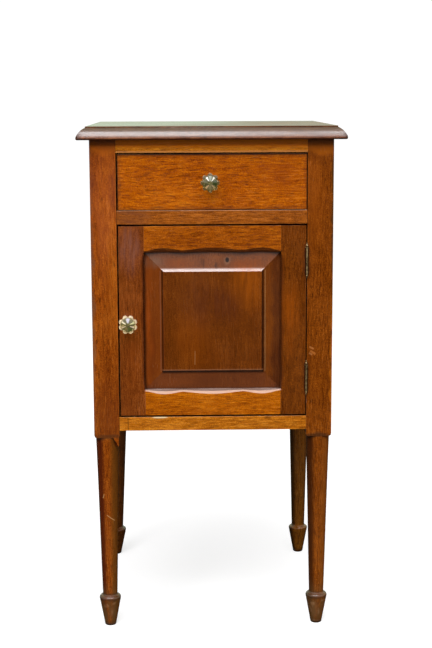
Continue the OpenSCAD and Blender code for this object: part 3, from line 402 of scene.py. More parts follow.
at = front("leg_front_left")
left_leg_wood = mahogany(
    "Mahogany of the left front leg", "z", shade(98, 38, 2), shade(149, 71, 10),
    shade(192, 106, 26), seed=1.0, streak=0.7, below=turned_top,
    # painted shade on the turned part's sides: dark red on the left, olive on the right
    sides=(
        ("X", -0.2, -0.6, shade(72, 19, 4), 0.85),
        ("X", 0.05, 0.6, shade(98, 62, 14), 0.65)),
    marks=(
        # painted shade on the chamfer at the square's foot, and painted light on the leg's top
        # beside the top rail, where the top's overhang keeps the lamps off
        (at(0, 0.302), (0.024, 0.006, 0.004), shade(96, 56, 28), 0.7, 0.5),
        (at(0, 0.740), (0.024, 0.006, 0.017), shade(190, 96, 16), 0.75, 0.3),
        (at(-0.019, 0.520, 0.008), (0.0040, 0.020, 0.220), shade(104, 70, 46), 0.6, 0.5),
        (at(0, 0.345), (0.024, 0.006, 0.040), shade(110, 46, 14), 0.4, 0.7),
        (at(0, 0.660), (0.022, 0.006, 0.100), shade(166, 84, 42), 0.35, 0.7),
        (at(0.0150, 0.672), (0.006, 0.006, 0.034), shade(104, 46, 30), 0.5, 0.6),
        (at(-0.0145, 0.690), (0.004, 0.006, 0.022), shade(96, 44, 26), 0.5, 0.6),
        (at(0.0075, 0.020, 0.003), (0.010, 0.008, 0.014), foot_chip, 0.5, 0.5))
    + foot_marks(at),
    scratches=(
        (at(-0.0021, 0.1788, 0.0045), at(0.0095, 0.1695, 0.0068), 0.0010, pale_scratch_and_highlight, 0.6),
        (at(-0.0065, 0.2110, 0.0043), at(-0.0076, 0.2060, 0.0043), 0.0014, pale_scratch_and_highlight, 0.5)))
dress(["leg_front_left"], left_leg_wood)

at = front("leg_front_right")
right_leg_wood = mahogany(
    "Mahogany of the right front leg", "z", shade(86, 36, 2), shade(126, 61, 7),
    shade(168, 90, 18), seed=2.0, streak=0.7, below=turned_top,
    # painted shade on the turned part's left side, and painted light on its right side
    sides=(
        ("X", -0.15, -0.7, shade(52, 20, 3), 0.85),
        ("X", 0.2, 0.6, shade(166, 90, 20), 0.45)),
    marks=(
        (at(0.019, 0.400), (0.0026, 0.020, 0.100), shade(176, 96, 16), 0.6, 0.5),
        (at(0.019, 0.640), (0.0026, 0.020, 0.110), shade(62, 38, 10), 0.8, 0.5),
        (at(-0.009, 0.660), (0.0120, 0.004, 0.0600), shade(150, 74, 12), 0.4, 0.7),
        # painted shade on the chamfer at the square's foot, and painted light on the leg's top
        # beside the top rail, where the top's overhang keeps the lamps off
        (at(0, 0.302), (0.024, 0.006, 0.004), shade(86, 50, 24), 0.7, 0.5),
        (at(0, 0.740), (0.024, 0.006, 0.017), shade(176, 92, 16), 0.75, 0.3),
        (at(-0.0065, 0.020, 0.003), (0.010, 0.008, 0.014), foot_chip, 0.5, 0.5))
    + foot_marks(at),
    scratches=(
        (at(-0.0140, 0.4375), at(-0.0095, 0.4350), 0.0024, shade(210, 136, 74), 0.4),
        (at(-0.0125, 0.4310), at(-0.0070, 0.4275), 0.0030, shade(206, 124, 56), 0.4),
        (at(-0.0145, 0.4280), at(-0.0115, 0.4262), 0.0022, shade(214, 140, 80), 0.35)))
dress(["leg_front_right"], right_leg_wood)

left_back_wood = mahogany(
    "Mahogany of the left back leg", "z", shade(54, 23, 2), shade(86, 42, 5),
    shade(118, 64, 12), seed=3.0, streak=0.7)
dress(["leg_back_left"], left_back_wood)

# Painted light: this leg's tones are raised to stand in for the light that the body keeps off it,
# and both sides of its turned part carry painted shade.
right_back_wood = mahogany(
    "Mahogany of the right back leg", "z", shade(92, 48, 5), shade(142, 82, 16),
    shade(182, 112, 30), seed=3.5, streak=0.7, below=turned_top,
    sides=(
        ("X", -0.3, -0.85, shade(44, 24, 5), 0.85),
        ("X", 0.5, 0.95, shade(84, 46, 12), 0.6)))
dress(["leg_back_right"], right_back_wood)


# ---- Rails ----
# Three mahogany rails cross the front and two tie the back legs. The top ones are
# dovetailed down into the legs and the others are tenoned, all glued.

rail_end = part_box("leg_front_right")[0].x - 0.0015
# near-black: real soiling in some places, and painted shadow in the gaps round the drawer front
dark_dirt_and_shade = shade(38, 17, 6)

at = front("front_top_rail")
# Painted light: the top rail's tones are raised to stand in for the light that the top's overhang
# keeps off it.
top_rail_wood = mahogany(
    "Mahogany of the top rail", "x", shade(150, 76, 5), shade(224, 130, 18),
    shade(255, 170, 44), seed=4.0, wear=0.1, dirt_and_shade=0.2,
    marks=(
        (at(0.1213, 0.0089), (0.022, 0.010, 0.006), shade(250, 150, 30), 0.4, 0.6),
        (at(0.0720, 0.0045), (0.090, 0.010, 0.008), shade(180, 96, 12), 0.4, 0.8)),
    scratches=(
        # a painted highlight along the lower arris, and broad painted light along the upper half
        # under the overhang
        (at(-rail_end, 0.0011), at(rail_end, 0.0011), 0.0030, shade(206, 142, 90), 0.45),
        (at(-rail_end, 0.0145), at(rail_end, 0.0145), 0.0120, shade(255, 134, 6), 0.9)))
dress(["front_top_rail"], top_rail_wood)

at = front("drawer_rail")
drawer_rail_wood = mahogany(
    "Mahogany of the drawer rail", "x", shade(100, 46, 6), shade(146, 76, 16),
    shade(190, 108, 34), seed=5.0, wear=0.25,
    marks=(
        (at(-0.118, 0.0110), (0.026, 0.012, 0.014), shade(112, 62, 36), 0.6, 0.6),),
    scratches=(
        # a painted highlight along the top arris
        (at(-rail_end, 0.0204), at(rail_end, 0.0204), 0.0016, shade(176, 130, 96), 0.5),))
dress(["drawer_rail"], drawer_rail_wood, ease=0.0009)

at = front("front_bottom_rail")
bottom_rail_wood = mahogany(
    "Mahogany of the bottom rail", "x", shade(136, 68, 5), shade(188, 107, 17),
    shade(226, 144, 40), seed=6.0,
    marks=(
        (at(-0.0795, 0.0201), (0.011, 0.004, 0.0012), shade(238, 216, 170), 0.9, 0.25),),
    scratches=(
        (at(-0.1276, 0.0185), at(-0.1272, 0.0025), 0.0012, dark_dirt_and_shade, 0.6),))
dress(["front_bottom_rail"], bottom_rail_wood)

back_rail_wood = mahogany(
    "Mahogany of the back rails", "x", shade(84, 38, 6), shade(122, 62, 14),
    shade(158, 88, 28), seed=7.0, rough=0.5, coat=0.0)
dress(["back_top_rail", "back_bottom_rail"], back_rail_wood)


# ---- Sides, back and floor ----
# The side boards are solid mahogany, tongued into the legs and polished outside. The
# back and floor are bare pine that has browned: iron nails hold the back in its rebates,
# and the floor lies on two bearers glued to the side boards.

side_wood = mahogany(
    "Mahogany of the sides", "z", shade(84, 36, 4), shade(126, 60, 10),
    shade(166, 88, 20), seed=8.0, figure=1.6, streak=0.8)
dress(["side_board_left", "side_board_right"], side_wood)


def pine(name, grain, deep, middle, bright, seed):
    """Bare pine with its rings as lines along the grain, darkened by age."""
    finish, tree, shader = new_finish(name)
    place = object_place(tree)
    bent = wandering(tree, place, grain, 2.0, 9.0, seed, 0.05)
    rings = noise(tree, stretched(tree, bent, grain, 1.0, 95.0, seed + 1), 2.0, 0.4)
    rings = maths(tree, "PINGPONG", maths(tree, "MULTIPLY", rings, 5.0), 1.0)
    fibres = noise(tree, stretched(tree, bent, grain, 30.0, 900.0, seed + 2), 2.0)
    stain = noise(tree, stretched(tree, place, grain, 5.0, 9.0, seed + 3), 3.0)
    tone = maths(tree, "MULTIPLY_ADD", rings, 0.55, 0.05)
    tone = maths(tree, "ADD", tone, maths(tree, "MULTIPLY_ADD", fibres, 0.6, -0.3))
    tone = maths(tree, "ADD", tone, maths(tree, "MULTIPLY_ADD", stain, 0.9, -0.3))
    colour = three_tones(tree, tone, 0.1, deep, middle, bright)
    # painted shade: darker where other surfaces stand close, in the corners
    corners = spread(tree, open_air(tree, 0.02), 0.8, 0.2)
    colour = lay(tree, colour, darkened(deep, 0.3), corners, 0.6)
    dull = maths(tree, "MULTIPLY_ADD", stain, 0.2, 0.62)
    finished(tree, shader, colour, dull, relief(tree, fibres, 0.5, 0.00025))
    shader.inputs["Specular IOR Level"].default_value = 0.3
    return finish


def metal(name, deep, bright, rough, seed, bare=1.0, flank_shade=None):
    """Old metal, dull in patches, and darker in its corners, dirty and in painted shade.
    Flank_shade is painted shade on the sides of what stands out in front of the wood."""
    finish, tree, shader = new_finish(name)
    place = object_place(tree)
    patches = noise(tree, stretched(tree, place, "x", 260.0, 260.0, seed), 4.0, 0.65)
    specks = noise(tree, stretched(tree, place, "x", 1400.0, 1400.0, seed + 1), 2.0)
    colour = tint(tree, spread(tree, patches, 0.35, 0.66), deep, bright)
    # soiling and painted shade in the corners
    grime_and_shade = maths(tree, "MULTIPLY", spread(tree, open_air(tree, 0.003), 0.8, 0.3), 0.7)
    colour = tint(tree, grime_and_shade, colour, darkened(deep, 0.12))
    # painted shade on the sides of the hinge knuckles
    if flank_shade:
        wood_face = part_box("door_stile_right")[0].y
        depth = parts(tree, place)["Y"]
        proud = spread(tree, depth, wood_face + 0.00075, wood_face - 0.00025)
        sideways = maths(tree, "ABSOLUTE", object_facing(tree)["X"])
        colour = lay(tree, colour, flank_shade, spread(tree, sideways, 0.3, 0.6), proud)
    dull = maths(tree, "MULTIPLY_ADD", patches, 0.5, rough - 0.25)
    dull = maths(tree, "MULTIPLY_ADD", grime_and_shade, 0.3, dull)
    finished(tree, shader, colour, dull, relief(tree, specks, 0.4, 0.00008))
    shader.inputs["Metallic"].default_value = bare
    return finish


back_pine = pine(
    "Pine of the back", "z", shade(110, 74, 40), shade(152, 108, 62), shade(184, 140, 88),
    seed=11.0)
dress(["back_board"], back_pine, ease=0.0008)
old_iron = metal("Old iron", shade(52, 46, 42), shade(112, 104, 96), rough=0.5, seed=42.0)
dress(["back_nails"], old_iron, ease=0)
floor_pine = pine(
    "Pine of the floor", "x", shade(120, 82, 46), shade(164, 120, 72), shade(196, 152, 98),
    seed=12.0)
dress(["cupboard_floor", "floor_bearer_left", "floor_bearer_right"], floor_pine, ease=0.0006)


# ---- Top ----
# One mahogany board with an ovolo moulding worked on its front and sides, held by iron
# screws from below. It has gone darker than the rest, and its edge is worn.

moulding_end_shade = shade(50, 30, 24)
at = front("top_board")
top_wood = mahogany(
    "Mahogany of the top", "x", shade(66, 30, 12), shade(102, 54, 28), shade(138, 84, 48),
    seed=14.0, rough=0.24, coat=0.46, streak=0.9, mottle=2.0, cloud=1.6, wear=0.12, dirt_and_shade=0.6,
    below=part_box("top_board")[1].z - 0.0035,
    # painted reflection tone: the moulding's upturned faces are darker and cooler, so that the
    # sky they reflect reads grey
    sides=(
        ("Z", 0.3, 0.6, shade(70, 56, 44), 0.75),),
    marks=(
        # painted shade on the moulding's rounded ends, where its reflection is dulled
        (at(-0.196, 0.0065, 0.004), (0.006, 0.030, 0.020), moulding_end_shade, 0.75, 0.5),
        (at(0.196, 0.0065, 0.004), (0.006, 0.030, 0.020), moulding_end_shade, 0.75, 0.5)),
    scratches=(
        # painted shadow on the small step at the top of the moulding
        (at(-0.1837, 0.0181, 0.0053), at(0.1837, 0.0181, 0.0053), 0.0036,
         shade(26, 32, 26), 0.9),),
    matt=(
        (at(0.130, 0.0195, 0.176), (0.120, 0.250, 0.020), 0.75),
        (at(0.020, 0.0195, 0.086), (0.100, 0.040, 0.020), 0.75),
        (at(0.140, 0.0065, 0.001), (0.090, 0.020, 0.012), 0.5),
        (at(-0.196, 0.0065, 0.004), (0.007, 0.040, 0.020), 1.0),
        (at(0.196, 0.0065, 0.004), (0.007, 0.040, 0.020), 1.0)))
dress(["top_board"], top_wood)
dress(["top_screws"], old_iron, ease=0)


# ---- Drawer's place ----
# Pine runners carry the drawer, guides steady it and kickers keep it level. The dust
# board slides in the runners' grooves, and two small blocks stop the drawer front. Two
# more blocks stop the door.

runner_pine = pine(
    "Pine of the runners", "y", shade(106, 70, 36), shade(150, 106, 60), shade(180, 134, 82),
    seed=15.0)
dress(["drawer_runner_left", "drawer_runner_right", "drawer_guide_left", "drawer_guide_right",
       "drawer_kicker_left", "drawer_kicker_right"], runner_pine, ease=0.0006)
dust_pine = pine(
    "Pine of the dust board", "x", shade(112, 76, 42), shade(158, 114, 66),
    shade(186, 142, 88), seed=16.0)
dress(["dust_board"], dust_pine)
stop_pine = pine(
    "Pine of the stops", "x", shade(106, 70, 36), shade(150, 106, 60), shade(180, 134, 82),
    seed=17.0)
dress(["drawer_stops", "door_stops"], stop_pine)


# ---- Drawer ----
# A mahogany front with lapped dovetails on pine sides, a pine back dovetailed right
# through them, and a thin pine bottom in grooves, nailed up into the back.

drawer_low, drawer_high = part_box("drawer_front")
edge_line_inset = 0.0002
drawer_end = (drawer_high.x - drawer_low.x) / 2 - edge_line_inset
drawer_top = drawer_high.z - drawer_low.z - edge_line_inset
at = front("drawer_front")
drawer_wood = mahogany(
    "Mahogany of the drawer front", "x", shade(120, 50, 1), shade(172, 84, 2),
    shade(208, 118, 10), seed=20.0, figure=0.9,
    marks=(
        (at(0.0945, 0.0569), (0.030, 0.010, 0.020), shade(140, 60, 4), 0.4, 0.6),
        # the front is painted darker towards its edges, beside the gaps
        (at(0, drawer_top - 0.001), (0.160, 0.010, 0.0045), shade(92, 40, 8), 0.6, 0.6),
        (at(0, 0.001), (0.160, 0.010, 0.0035), shade(104, 50, 18), 0.6, 0.6),
        (at(-drawer_end, 0.0409), (0.0050, 0.010, 0.050), shade(104, 52, 24), 0.6, 0.6),
        (at(drawer_end, 0.0409), (0.0040, 0.010, 0.050), shade(110, 52, 14), 0.5, 0.6)),
    scratches=(
        # painted shadow in the gaps round the drawer front
        (at(-drawer_end, drawer_top), at(drawer_end, drawer_top), 0.0030, dark_dirt_and_shade, 0.95),
        (at(-drawer_end, drawer_top), at(-drawer_end, 0), 0.0020, dark_dirt_and_shade, 0.9),
        (at(drawer_end, drawer_top), at(drawer_end, 0), 0.0018, dark_dirt_and_shade, 0.8),
        (at(-drawer_end, edge_line_inset), at(drawer_end, edge_line_inset), 0.0014, dark_dirt_and_shade, 0.6)))
dress(["drawer_front"], drawer_wood)

drawer_side_pine = pine(
    "Pine of the drawer sides", "y", shade(124, 86, 48), shade(168, 124, 76),
    shade(198, 154, 100), seed=21.0)
dress(["drawer_side_left", "drawer_side_right"], drawer_side_pine, ease=0.0006)
drawer_back_pine = pine(
    "Pine of the drawer back", "x", shade(124, 86, 48), shade(168, 124, 76),
    shade(198, 154, 100), seed=22.0)
dress(["drawer_back"], drawer_back_pine, ease=0.0006)
drawer_bottom_pine = pine(
    "Pine of the drawer bottom", "x", shade(130, 92, 54), shade(174, 130, 82),
    shade(202, 160, 108), seed=23.0)
dress(["drawer_bottom"], drawer_bottom_pine, ease=0.0004)
dress(["drawer_bottom_nails"], old_iron, ease=0)


# ---- Door frame ----
# Two dark red mahogany stiles and two golden rails, mortised and tenoned. A shaped
# bevel is worked round the inside, in shallow waves.

frame_faces = joined_faces(20)
bevel_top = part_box("door_rail_top")[0].z - 0.005

at = front("door_stile_left")
left_stile_wood = mahogany(
    "Mahogany of the left stile", "z", shade(90, 40, 8), shade(128, 62, 16),
    shade(158, 86, 32), seed=30.0, streak=0.8, below=bevel_top,
    # painted shade on the bevel, which faces right
    sides=(
        ("X", 0.3, 0.42, shade(84, 36, 12), 0.5),
        ("X", 0.62, 0.72, shade(44, 16, 5), 0.8)),
    marks=(
        # a painted sheen on the stile's upper part
        (at(-0.0025, 0.251), (0.014, 0.010, 0.030), shade(134, 88, 74), 0.5, 0.7),
        (at(0.0005, 0.085), (0.008, 0.010, 0.050), shade(132, 60, 12), 0.4, 0.7)))
dress(["door_stile_left"], left_stile_wood, faces=frame_faces)

at = front("door_stile_right")
right_stile_wood = mahogany(
    "Mahogany of the right stile", "z", shade(70, 31, 2), shade(104, 49, 5),
    shade(142, 74, 14), seed=31.0, streak=0.6, below=bevel_top,
    # painted shade on the bevel, which faces left
    sides=(
        ("X", -0.3, -0.42, shade(84, 38, 8), 0.5),
        ("X", -0.62, -0.72, shade(58, 26, 10), 0.7)),
    marks=(
        (at(-0.0039, 0.157), (0.011, 0.010, 0.034), shade(158, 76, 8), 0.55, 0.8),
        (at(-0.0062, 0.105), (0.006, 0.010, 0.020), shade(136, 64, 6), 0.4, 0.6)))
dress(["door_stile_right"], right_stile_wood, faces=frame_faces)

upper_rail_wood = mahogany(
    "Mahogany of the door's top rail", "x", shade(110, 47, 2), shade(154, 76, 5),
    shade(192, 106, 16), seed=32.0, dirt_and_shade=0.7)
dress(["door_rail_top"], upper_rail_wood, faces=frame_faces)

lower_rail_wood = mahogany(
    "Mahogany of the door's bottom rail", "x", shade(128, 58, 2), shade(179, 92, 4),
    shade(214, 126, 16), seed=33.0, wear=0.1,
    # a painted highlight on the bevel's outer flat, and a dimmer painted reflection on its inner
    # flat
    sides=(
        ("Z", 0.3, 0.42, shade(194, 158, 138), 0.85),
        ("Z", 0.6, 0.72, shade(94, 70, 62), 0.9)))
dress(["door_rail_bottom"], lower_rail_wood, faces=frame_faces)


# ---- Door panel ----
# A solid mahogany panel, raised and fielded, loose in the frame's groove so that it
# can move. The foot of its shoulder is drawn darker.

mitred_faces = joined_faces(3)
border = 0.0038
hole = 0.0050
shoulder = 0.00125
shoulder_end = 0.0746
shoulder_low, shoulder_high = 0.0332, 0.1848

at = front("door_panel")
panel_wood = mahogany(
    "Mahogany of the panel", "z", shade(73, 33, 3), shade(104, 49, 8), shade(139, 74, 18),
    seed=34.0, streak=0.35, fleck=0.75, dash=0.5, wear=0.15, dirt_and_shade=0.5,
    # painted light and shade by facing: the left border redder, the right border darker, the
    # bottom border browner, a painted sheen on the top border, and a painted highlight on the
    # field's top shoulder
    sides=(
        ("X", -0.03, -0.06, shade(130, 60, 18), 0.4),
        ("X", 0.03, 0.06, shade(68, 32, 18), 0.4),
        ("Z", -0.03, -0.06, shade(128, 70, 42), 0.45),
        ("Z", 0.03, 0.06, shade(136, 86, 60), 0.2),
        ("Z", 0.3, 0.5, shade(230, 214, 210), 0.35)),
    marks=(
        (at(0.0526, 0.166), (0.023, 0.010, 0.034), shade(164, 82, 8), 0.5, 0.7),
        (at(-0.0324, 0.086), (0.024, 0.010, 0.040), shade(146, 70, 8), 0.32, 0.7),
        (at(-0.0024, 0.050), (0.022, 0.010, 0.022), shade(140, 66, 8), 0.22, 0.7),
        (at(-0.0164, 0.142), (0.028, 0.010, 0.034), shade(84, 40, 20), 0.45, 0.7),
        (at(0.0216, 0.133), (0.020, 0.010, 0.022), shade(76, 34, 18), 0.5, 0.7),
        (at(-0.0949, 0.102, border), (0.005, 0.010, 0.090), shade(164, 72, 10), 0.4, 0.7),
        (at(-0.0904, 0.072, border), (0.004, 0.010, 0.060), shade(84, 36, 10), 0.4, 0.7),
        (at(0.0826, 0.102, border), (0.005, 0.010, 0.090), shade(138, 70, 10), 0.5, 0.7),
        (at(0.0956, 0.082, border), (0.005, 0.010, 0.110), shade(58, 26, 14), 0.5, 0.6),
        (at(0.0276, 0.020, border), (0.052, 0.010, 0.009), shade(74, 34, 18), 0.3, 0.8),
        (at(-0.0604, 0.016, border), (0.024, 0.010, 0.006), shade(140, 70, 30), 0.35, 0.8),
        (at(-0.0894, 0.198, border), (0.016, 0.010, 0.009), shade(112, 88, 72), 0.4, 0.7),
        (at(-0.0494, 0.195, border), (0.018, 0.010, 0.007), shade(130, 62, 26), 0.5, 0.8),
        (at(0.0476, 0.194, border), (0.020, 0.010, 0.006), shade(128, 60, 22), 0.5, 0.8),
        (at(-0.0144, 0.196, border), (0.004, 0.010, 0.007), shade(70, 40, 26), 0.5, 0.6),
        (at(0.0218, 0.198, border), (0.009, 0.010, 0.010), shade(84, 48, 30), 0.4, 0.6),
        (at(0.0218, 0.2000, hole), (0.0048, 0.004, 0.0064), shade(150, 112, 88), 0.35, 0.5),
        (at(0.0218, 0.2004, hole), (0.0028, 0.004, 0.0038), shade(24, 12, 8), 0.95, 0.25),
        (at(0.0052, 0.1928, hole), (0.0020, 0.004, 0.0040), shade(56, 30, 18), 0.6, 0.5)),
    scratches=(
        (at(-shoulder_end, shoulder_low, shoulder), at(-shoulder_end, shoulder_high, shoulder),
         0.0024, dark_dirt_and_shade, 0.75),
        (at(shoulder_end, shoulder_low, shoulder), at(shoulder_end, shoulder_high, shoulder),
         0.0026, dark_dirt_and_shade, 0.75),
        (at(-shoulder_end, shoulder_low, shoulder), at(shoulder_end, shoulder_low, shoulder),
         0.0024, dark_dirt_and_shade, 0.75),
        # painted highlights along the edges of the field's shoulder
        (at(-0.0776, shoulder_low, 0.0025), at(-0.0776, shoulder_high, 0.0025),
         0.0014, shade(150, 110, 84), 0.2),
        (at(0.0781, shoulder_low, 0.0025), at(0.0781, shoulder_high, 0.0025),
         0.0014, pale_scratch_and_highlight, 0.22),
        (at(-shoulder_end, 0.0356, shoulder), at(shoulder_end, 0.0356, shoulder),
         0.0018, shade(170, 118, 84), 0.35),
        (at(-0.0134, 0.201, hole), at(-0.0135, 0.188, hole), 0.0012, dark_dirt_and_shade, 0.45),
        (at(-0.0266, 0.064), at(-0.0270, 0.044), 0.0010, pale_scratch_and_highlight, 0.2)),
    matt=(
        (at(-0.0494, 0.195, border), (0.018, 0.010, 0.008), 1.0),
        (at(0.0476, 0.194, border), (0.022, 0.010, 0.007), 1.0),
        (at(0.0176, 0.198, border), (0.010, 0.010, 0.010), 0.8),
        (at(-0.0144, 0.196, border), (0.005, 0.010, 0.009), 0.8)))
dress(["door_panel"], panel_wood, faces=mitred_faces)


# ---- Hinges ----
# Two brass butts with ball and steeple tips, let into the leg and the stile and held
# by iron screws. The brass has gone dull and olive, darker in its corners, and the sides
# of its knuckles carry painted shade.

hinge_brass = metal("Hinge brass", shade(114, 92, 56), shade(188, 160, 110), rough=0.36,
                    seed=41.0, bare=0.7, flank_shade=shade(62, 30, 8))
dress(["hinge_leaf_leg_upper", "hinge_leaf_leg_lower", "hinge_leaf_door_upper",
       "hinge_leaf_door_lower"], hinge_brass, ease=0.0002)
dress(["hinge_pin_upper", "hinge_pin_lower"], hinge_brass, ease=0)
dress(["hinge_leg_screws", "hinge_door_screws"], old_iron, ease=0)


# ---- Knobs ----
# Each knob is pressed glass, an eight-pointed skirt round an eight-sided pyramid, on
# a brass collar. A bolt goes through the wood to a brass nut behind.

def pressed_glass(name, node, skirt, tip, painted_facet_light):
    """Old pressed glass: olive and clear inside, skirt coloured outside the pyramid, and
    cream on the worn tips of its points, from the radius tip. The painted facet light is
    highlights and shade painted on the facets: (angle, half its width in degrees, colour)."""
    finish, tree, shader = new_finish(name)
    place = object_place(tree)
    low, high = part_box(node)
    offset = parts(tree, vector_maths(tree, "SUBTRACT", place, (low + high) / 2))
    angle = maths(tree, "ARCTAN2", offset["Z"], offset["X"])
    far = maths(tree, "SQRT", maths(tree, "MULTIPLY_ADD", offset["X"], offset["X"],
                                    maths(tree, "MULTIPLY", offset["Z"], offset["Z"])))
    ripple = noise(tree, stretched(tree, place, "x", 180.0, 180.0, 50.0), 2.0)
    murk = noise(tree, stretched(tree, place, "x", 320.0, 320.0, 51.0), 3.0)
    colour = tint(tree, spread(tree, murk, 0.35, 0.65), shade(112, 104, 62), shade(178, 168, 118))
    colour = tint(tree, spread(tree, far, 0.0094, 0.0108), colour, skirt)
    tips = spread(tree, far, tip, tip + 0.0022)
    colour = tint(tree, tips, colour, shade(242, 220, 184))
    clear = maths(tree, "MULTIPLY_ADD", tips, -0.35, 0.66)
    facets = maths(tree, "MULTIPLY", spread(tree, far, 0.0025, 0.0042),
                   spread(tree, far, 0.0106, 0.0092))
    # painted highlights and shade on the facets, at fixed angles round the knob
    for middle, half, facet_light in painted_facet_light:
        turn = maths(tree, "ABSOLUTE", maths(tree, "SUBTRACT", angle, math.radians(middle)))
        lit = spread(tree, turn, math.radians(1.15 * half), math.radians(0.75 * half))
        lit = maths(tree, "MULTIPLY", lit, facets)
        colour = tint(tree, lit, colour, facet_light)
        clear = maths(tree, "MULTIPLY", clear, maths(tree, "SUBTRACT", 1.0, lit))
    tree.links.new(colour, shader.inputs["Base Color"])
    tree.links.new(clear, shader.inputs["Transmission Weight"])
    tree.links.new(relief(tree, ripple, 0.25, 0.0003), shader.inputs["Normal"])
    shader.inputs["Roughness"].default_value = 0.06
    shader.inputs["IOR"].default_value = 1.55
    shader.inputs["Specular IOR Level"].default_value = 0.7
    shadow = add(tree, "ShaderNodeLightPath").outputs["Is Shadow Ray"]
    through = add(tree, "ShaderNodeBsdfTransparent", {"Color": shade(226, 232, 214)})
    seen = add(tree, "ShaderNodeMixShader",
               {0: shadow, 1: shader.outputs[0], 2: through.outputs[0]})
    tree.links.new(seen.outputs[0], tree.nodes["Material Output"].inputs["Surface"])
    dress([node], finish, ease=0.0003)


pressed_glass(
    "Glass of the drawer knob", "drawer_knob_glass", skirt=shade(128, 104, 62), tip=0.0128,
    painted_facet_light=(
        (123, 9, shade(224, 222, 214)), (53, 8, shade(214, 212, 200)),
        (90, 15, shade(136, 144, 132)), (0, 34, shade(62, 68, 34)),
        (-90, 22, shade(140, 124, 84)), (-126, 9, shade(206, 168, 124)),
        (-52, 9, shade(176, 150, 108))))
pressed_glass(
    "Glass of the door knob", "door_knob_glass", skirt=shade(198, 176, 130), tip=0.0104,
    painted_facet_light=(
        (90, 19, shade(186, 180, 192)), (150, 9, shade(222, 208, 176)),
        (22, 9, shade(206, 202, 150)), (-68, 20, shade(92, 98, 50)),
        (-112, 16, shade(128, 112, 66)), (-22, 8, shade(226, 206, 176)),
        (-158, 8, shade(216, 190, 150))))
old_brass = metal("Old brass", shade(86, 70, 38), shade(146, 128, 84), rough=0.36, seed=40.0,
                  bare=0.7)
dress(["door_knob_collar", "drawer_knob_collar", "door_knob_nut", "drawer_knob_nut",
       "door_knob_bolt", "drawer_knob_bolt"], old_brass, ease=0.0002)


# ---- Door's catch ----
# A flat brass tongue hangs from the door knob's bolt, behind the door. Turning the knob
# brings it across into the slot of a brass plate, let into the left front leg and nailed.

dress(["door_knob_tongue", "catch_plate"], old_brass, ease=0.0002)
dress(["catch_plate_nails"], old_iron, ease=0)


# ---- Room ----
# A pale studio floor that keeps the object's soft shadow, two wide soft lamps in front
# of and above the object, a third that only its polish reflects, a white world, and the
# camera of the photograph.

floor_side, floor_near, floor_far = 1.8, -0.9, 2.6
floor_mesh = bpy.data.meshes.new("Floor")
floor_mesh.from_pydata([(-floor_side, floor_near, 0), (floor_side, floor_near, 0),
                        (floor_side, floor_far, 0), (-floor_side, floor_far, 0)],
                       [], [(0, 1, 2, 3)])
floor = bpy.data.objects.new("Floor", floor_mesh)
bpy.context.collection.objects.link(floor)
floor_finish, tree, shader = new_finish("Pale floor")
shader.inputs["Base Color"].default_value = (0.2, 0.2, 0.2, 1.0)
shader.inputs["Roughness"].default_value = 0.9
shader.inputs["Specular IOR Level"].default_value = 0.0
rays = add(tree, "ShaderNodeLightPath").outputs

# what the camera sees: white, with the shadow, and less glow where the lamps are brightest;
# this dip also paints shade on the floor under the object's left side
near_lamps = spot(tree, object_place(tree), (-0.31, -0.26, 0.0), (0.555, 0.6, 1.0), 0.43)
glow = add(tree, "ShaderNodeEmission", {
    "Color": (1.0, 1.0, 1.0, 1.0),
    "Strength": maths(tree, "MULTIPLY_ADD", near_lamps, -0.2, 0.8)})
shadowed = add(tree, "ShaderNodeBsdfDiffuse", {"Color": (0.5, 0.5, 0.5, 1.0)})
pale = add(tree, "ShaderNodeAddShader", {0: shadowed.outputs[0], 1: glow.outputs[0]})

# what lights the wood from below is grey, and what its polish reflects is dark
dark = add(tree, "ShaderNodeBsdfDiffuse", {"Color": (0.05, 0.035, 0.02, 1.0)})
other = add(tree, "ShaderNodeMixShader",
            {0: rays["Is Glossy Ray"], 1: shader.outputs[0], 2: dark.outputs[0]})
seen = add(tree, "ShaderNodeMixShader",
           {0: rays["Is Camera Ray"], 1: other.outputs[0], 2: pale.outputs[0]})
tree.links.new(seen.outputs[0], tree.nodes["Material Output"].inputs["Surface"])
floor_mesh.materials.append(floor_finish)

world = bpy.data.worlds.new("Studio")
bpy.context.scene.world = world
world.use_nodes = True
tree = world.node_tree
tree.nodes.clear()
rays = add(tree, "ShaderNodeLightPath").outputs
direction = parts(tree, add(tree, "ShaderNodeTexCoord").outputs["Generated"])

# what gloss and glass show: a pale light behind the object and a bright sky before it
behind = maths(tree, "MULTIPLY", spread(tree, direction["Y"], -0.1, 0.3),
               spread(tree, direction["Z"], -0.03, 0.01))
front_sky = spread(tree, direction["Z"], 0.02, 0.24)
mirror_room = maths(tree, "MULTIPLY", front_sky, maths(tree, "SUBTRACT", 1.4, behind))
mirror_room = maths(tree, "MAXIMUM", maths(tree, "MULTIPLY", behind, 0.89), mirror_room)
glass_room = maths(tree, "MAXIMUM", behind, maths(tree, "MULTIPLY_ADD", front_sky, 0.8, 0.1))
white_room = 1.05

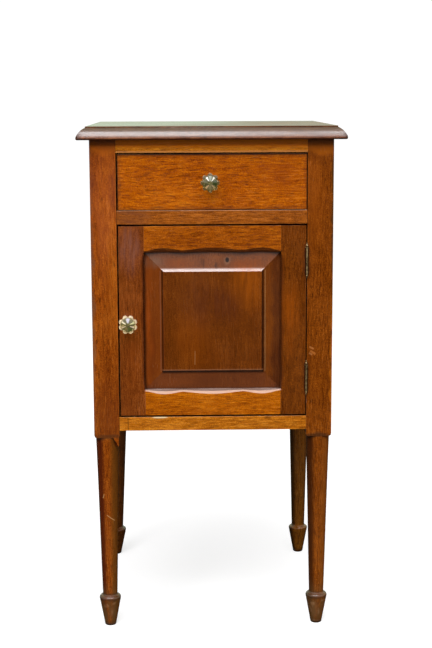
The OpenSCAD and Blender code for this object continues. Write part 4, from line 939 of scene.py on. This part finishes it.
# the world's soft light, stronger from above, and what each kind of ray sees instead
level = maths(tree, "MULTIPLY_ADD", spread(tree, direction["Z"], -0.15, 0.6), 0.38, 0.08)
for ray, room in (("Is Glossy Ray", mirror_room), ("Is Transmission Ray", glass_room),
                  ("Is Camera Ray", white_room)):
    level = add(tree, "ShaderNodeMix", {0: rays[ray], 2: level, 3: room},
                data_type="FLOAT").outputs[0]
green = maths(tree, "MULTIPLY", rays["Is Glossy Ray"], behind)
hue = tint(tree, green, (1.0, 1.0, 1.0, 1.0), (0.79, 1.0, 0.77, 1.0))
air = add(tree, "ShaderNodeBackground", {"Color": hue, "Strength": level})
add(tree, "ShaderNodeOutputWorld", {"Surface": air.outputs[0]})


def lamp(name, where, towards, width, height, watts, colour=(1.0, 1.0, 1.0)):
    """A soft rectangular lamp, out of the camera's sight."""
    light = bpy.data.lights.new(name, "AREA")
    light.shape = "RECTANGLE"
    light.size, light.size_y = width, height
    light.energy = watts
    light.color = colour
    holder = bpy.data.objects.new(name, light)
    holder.location = where
    holder.rotation_mode = "QUATERNION"
    holder.rotation_quaternion = (Vector(towards) - Vector(where)).to_track_quat("-Z", "Y")
    holder.visible_camera = False
    bpy.context.collection.objects.link(holder)
    return holder


front_lamp = lamp("Front lamp", (-0.5, -2.4, 2.6), (0.0, 0.0, 0.45), 2.4, 1.6, watts=92.0)
front_lamp.visible_glossy = False
upper_lamp = lamp("Upper lamp", (-0.2, -1.1, 2.9), (0.0, 0.0, 0.5), 2.4, 1.6, watts=45.0)
upper_lamp.visible_glossy = False
bright_sky = lamp("Bright sky", (-0.2, -1.12, 2.96), (0.0, -0.1, 0.6), 2.6, 1.2, watts=110.0,
                  colour=(0.96, 0.96, 1.0))
bright_sky.visible_diffuse = False

camera = bpy.data.objects.new("Camera", bpy.data.cameras.new("Camera"))
camera.data.lens = 76.52
camera.data.sensor_width = 36.0
camera.data.clip_end = 50.0
eye = (-0.044226, -2.197061, 0.807983)
yaw, pitch, roll = 0.024445, 0.164159, -0.00371
ahead = Vector((math.sin(yaw) * math.cos(pitch), math.cos(yaw) * math.cos(pitch),
                -math.sin(pitch)))
level_right = Vector((math.cos(yaw), -math.sin(yaw), 0.0))
level_up = level_right.cross(ahead)
right = math.cos(roll) * level_right + math.sin(roll) * level_up
up = math.cos(roll) * level_up - math.sin(roll) * level_right
turned = Matrix((right, up, -ahead)).transposed().to_4x4()
camera.matrix_world = Matrix.Translation(eye) @ turned
bpy.context.collection.objects.link(camera)
bpy.context.scene.camera = camera
bpy.context.scene.view_settings.view_transform = "Standard"
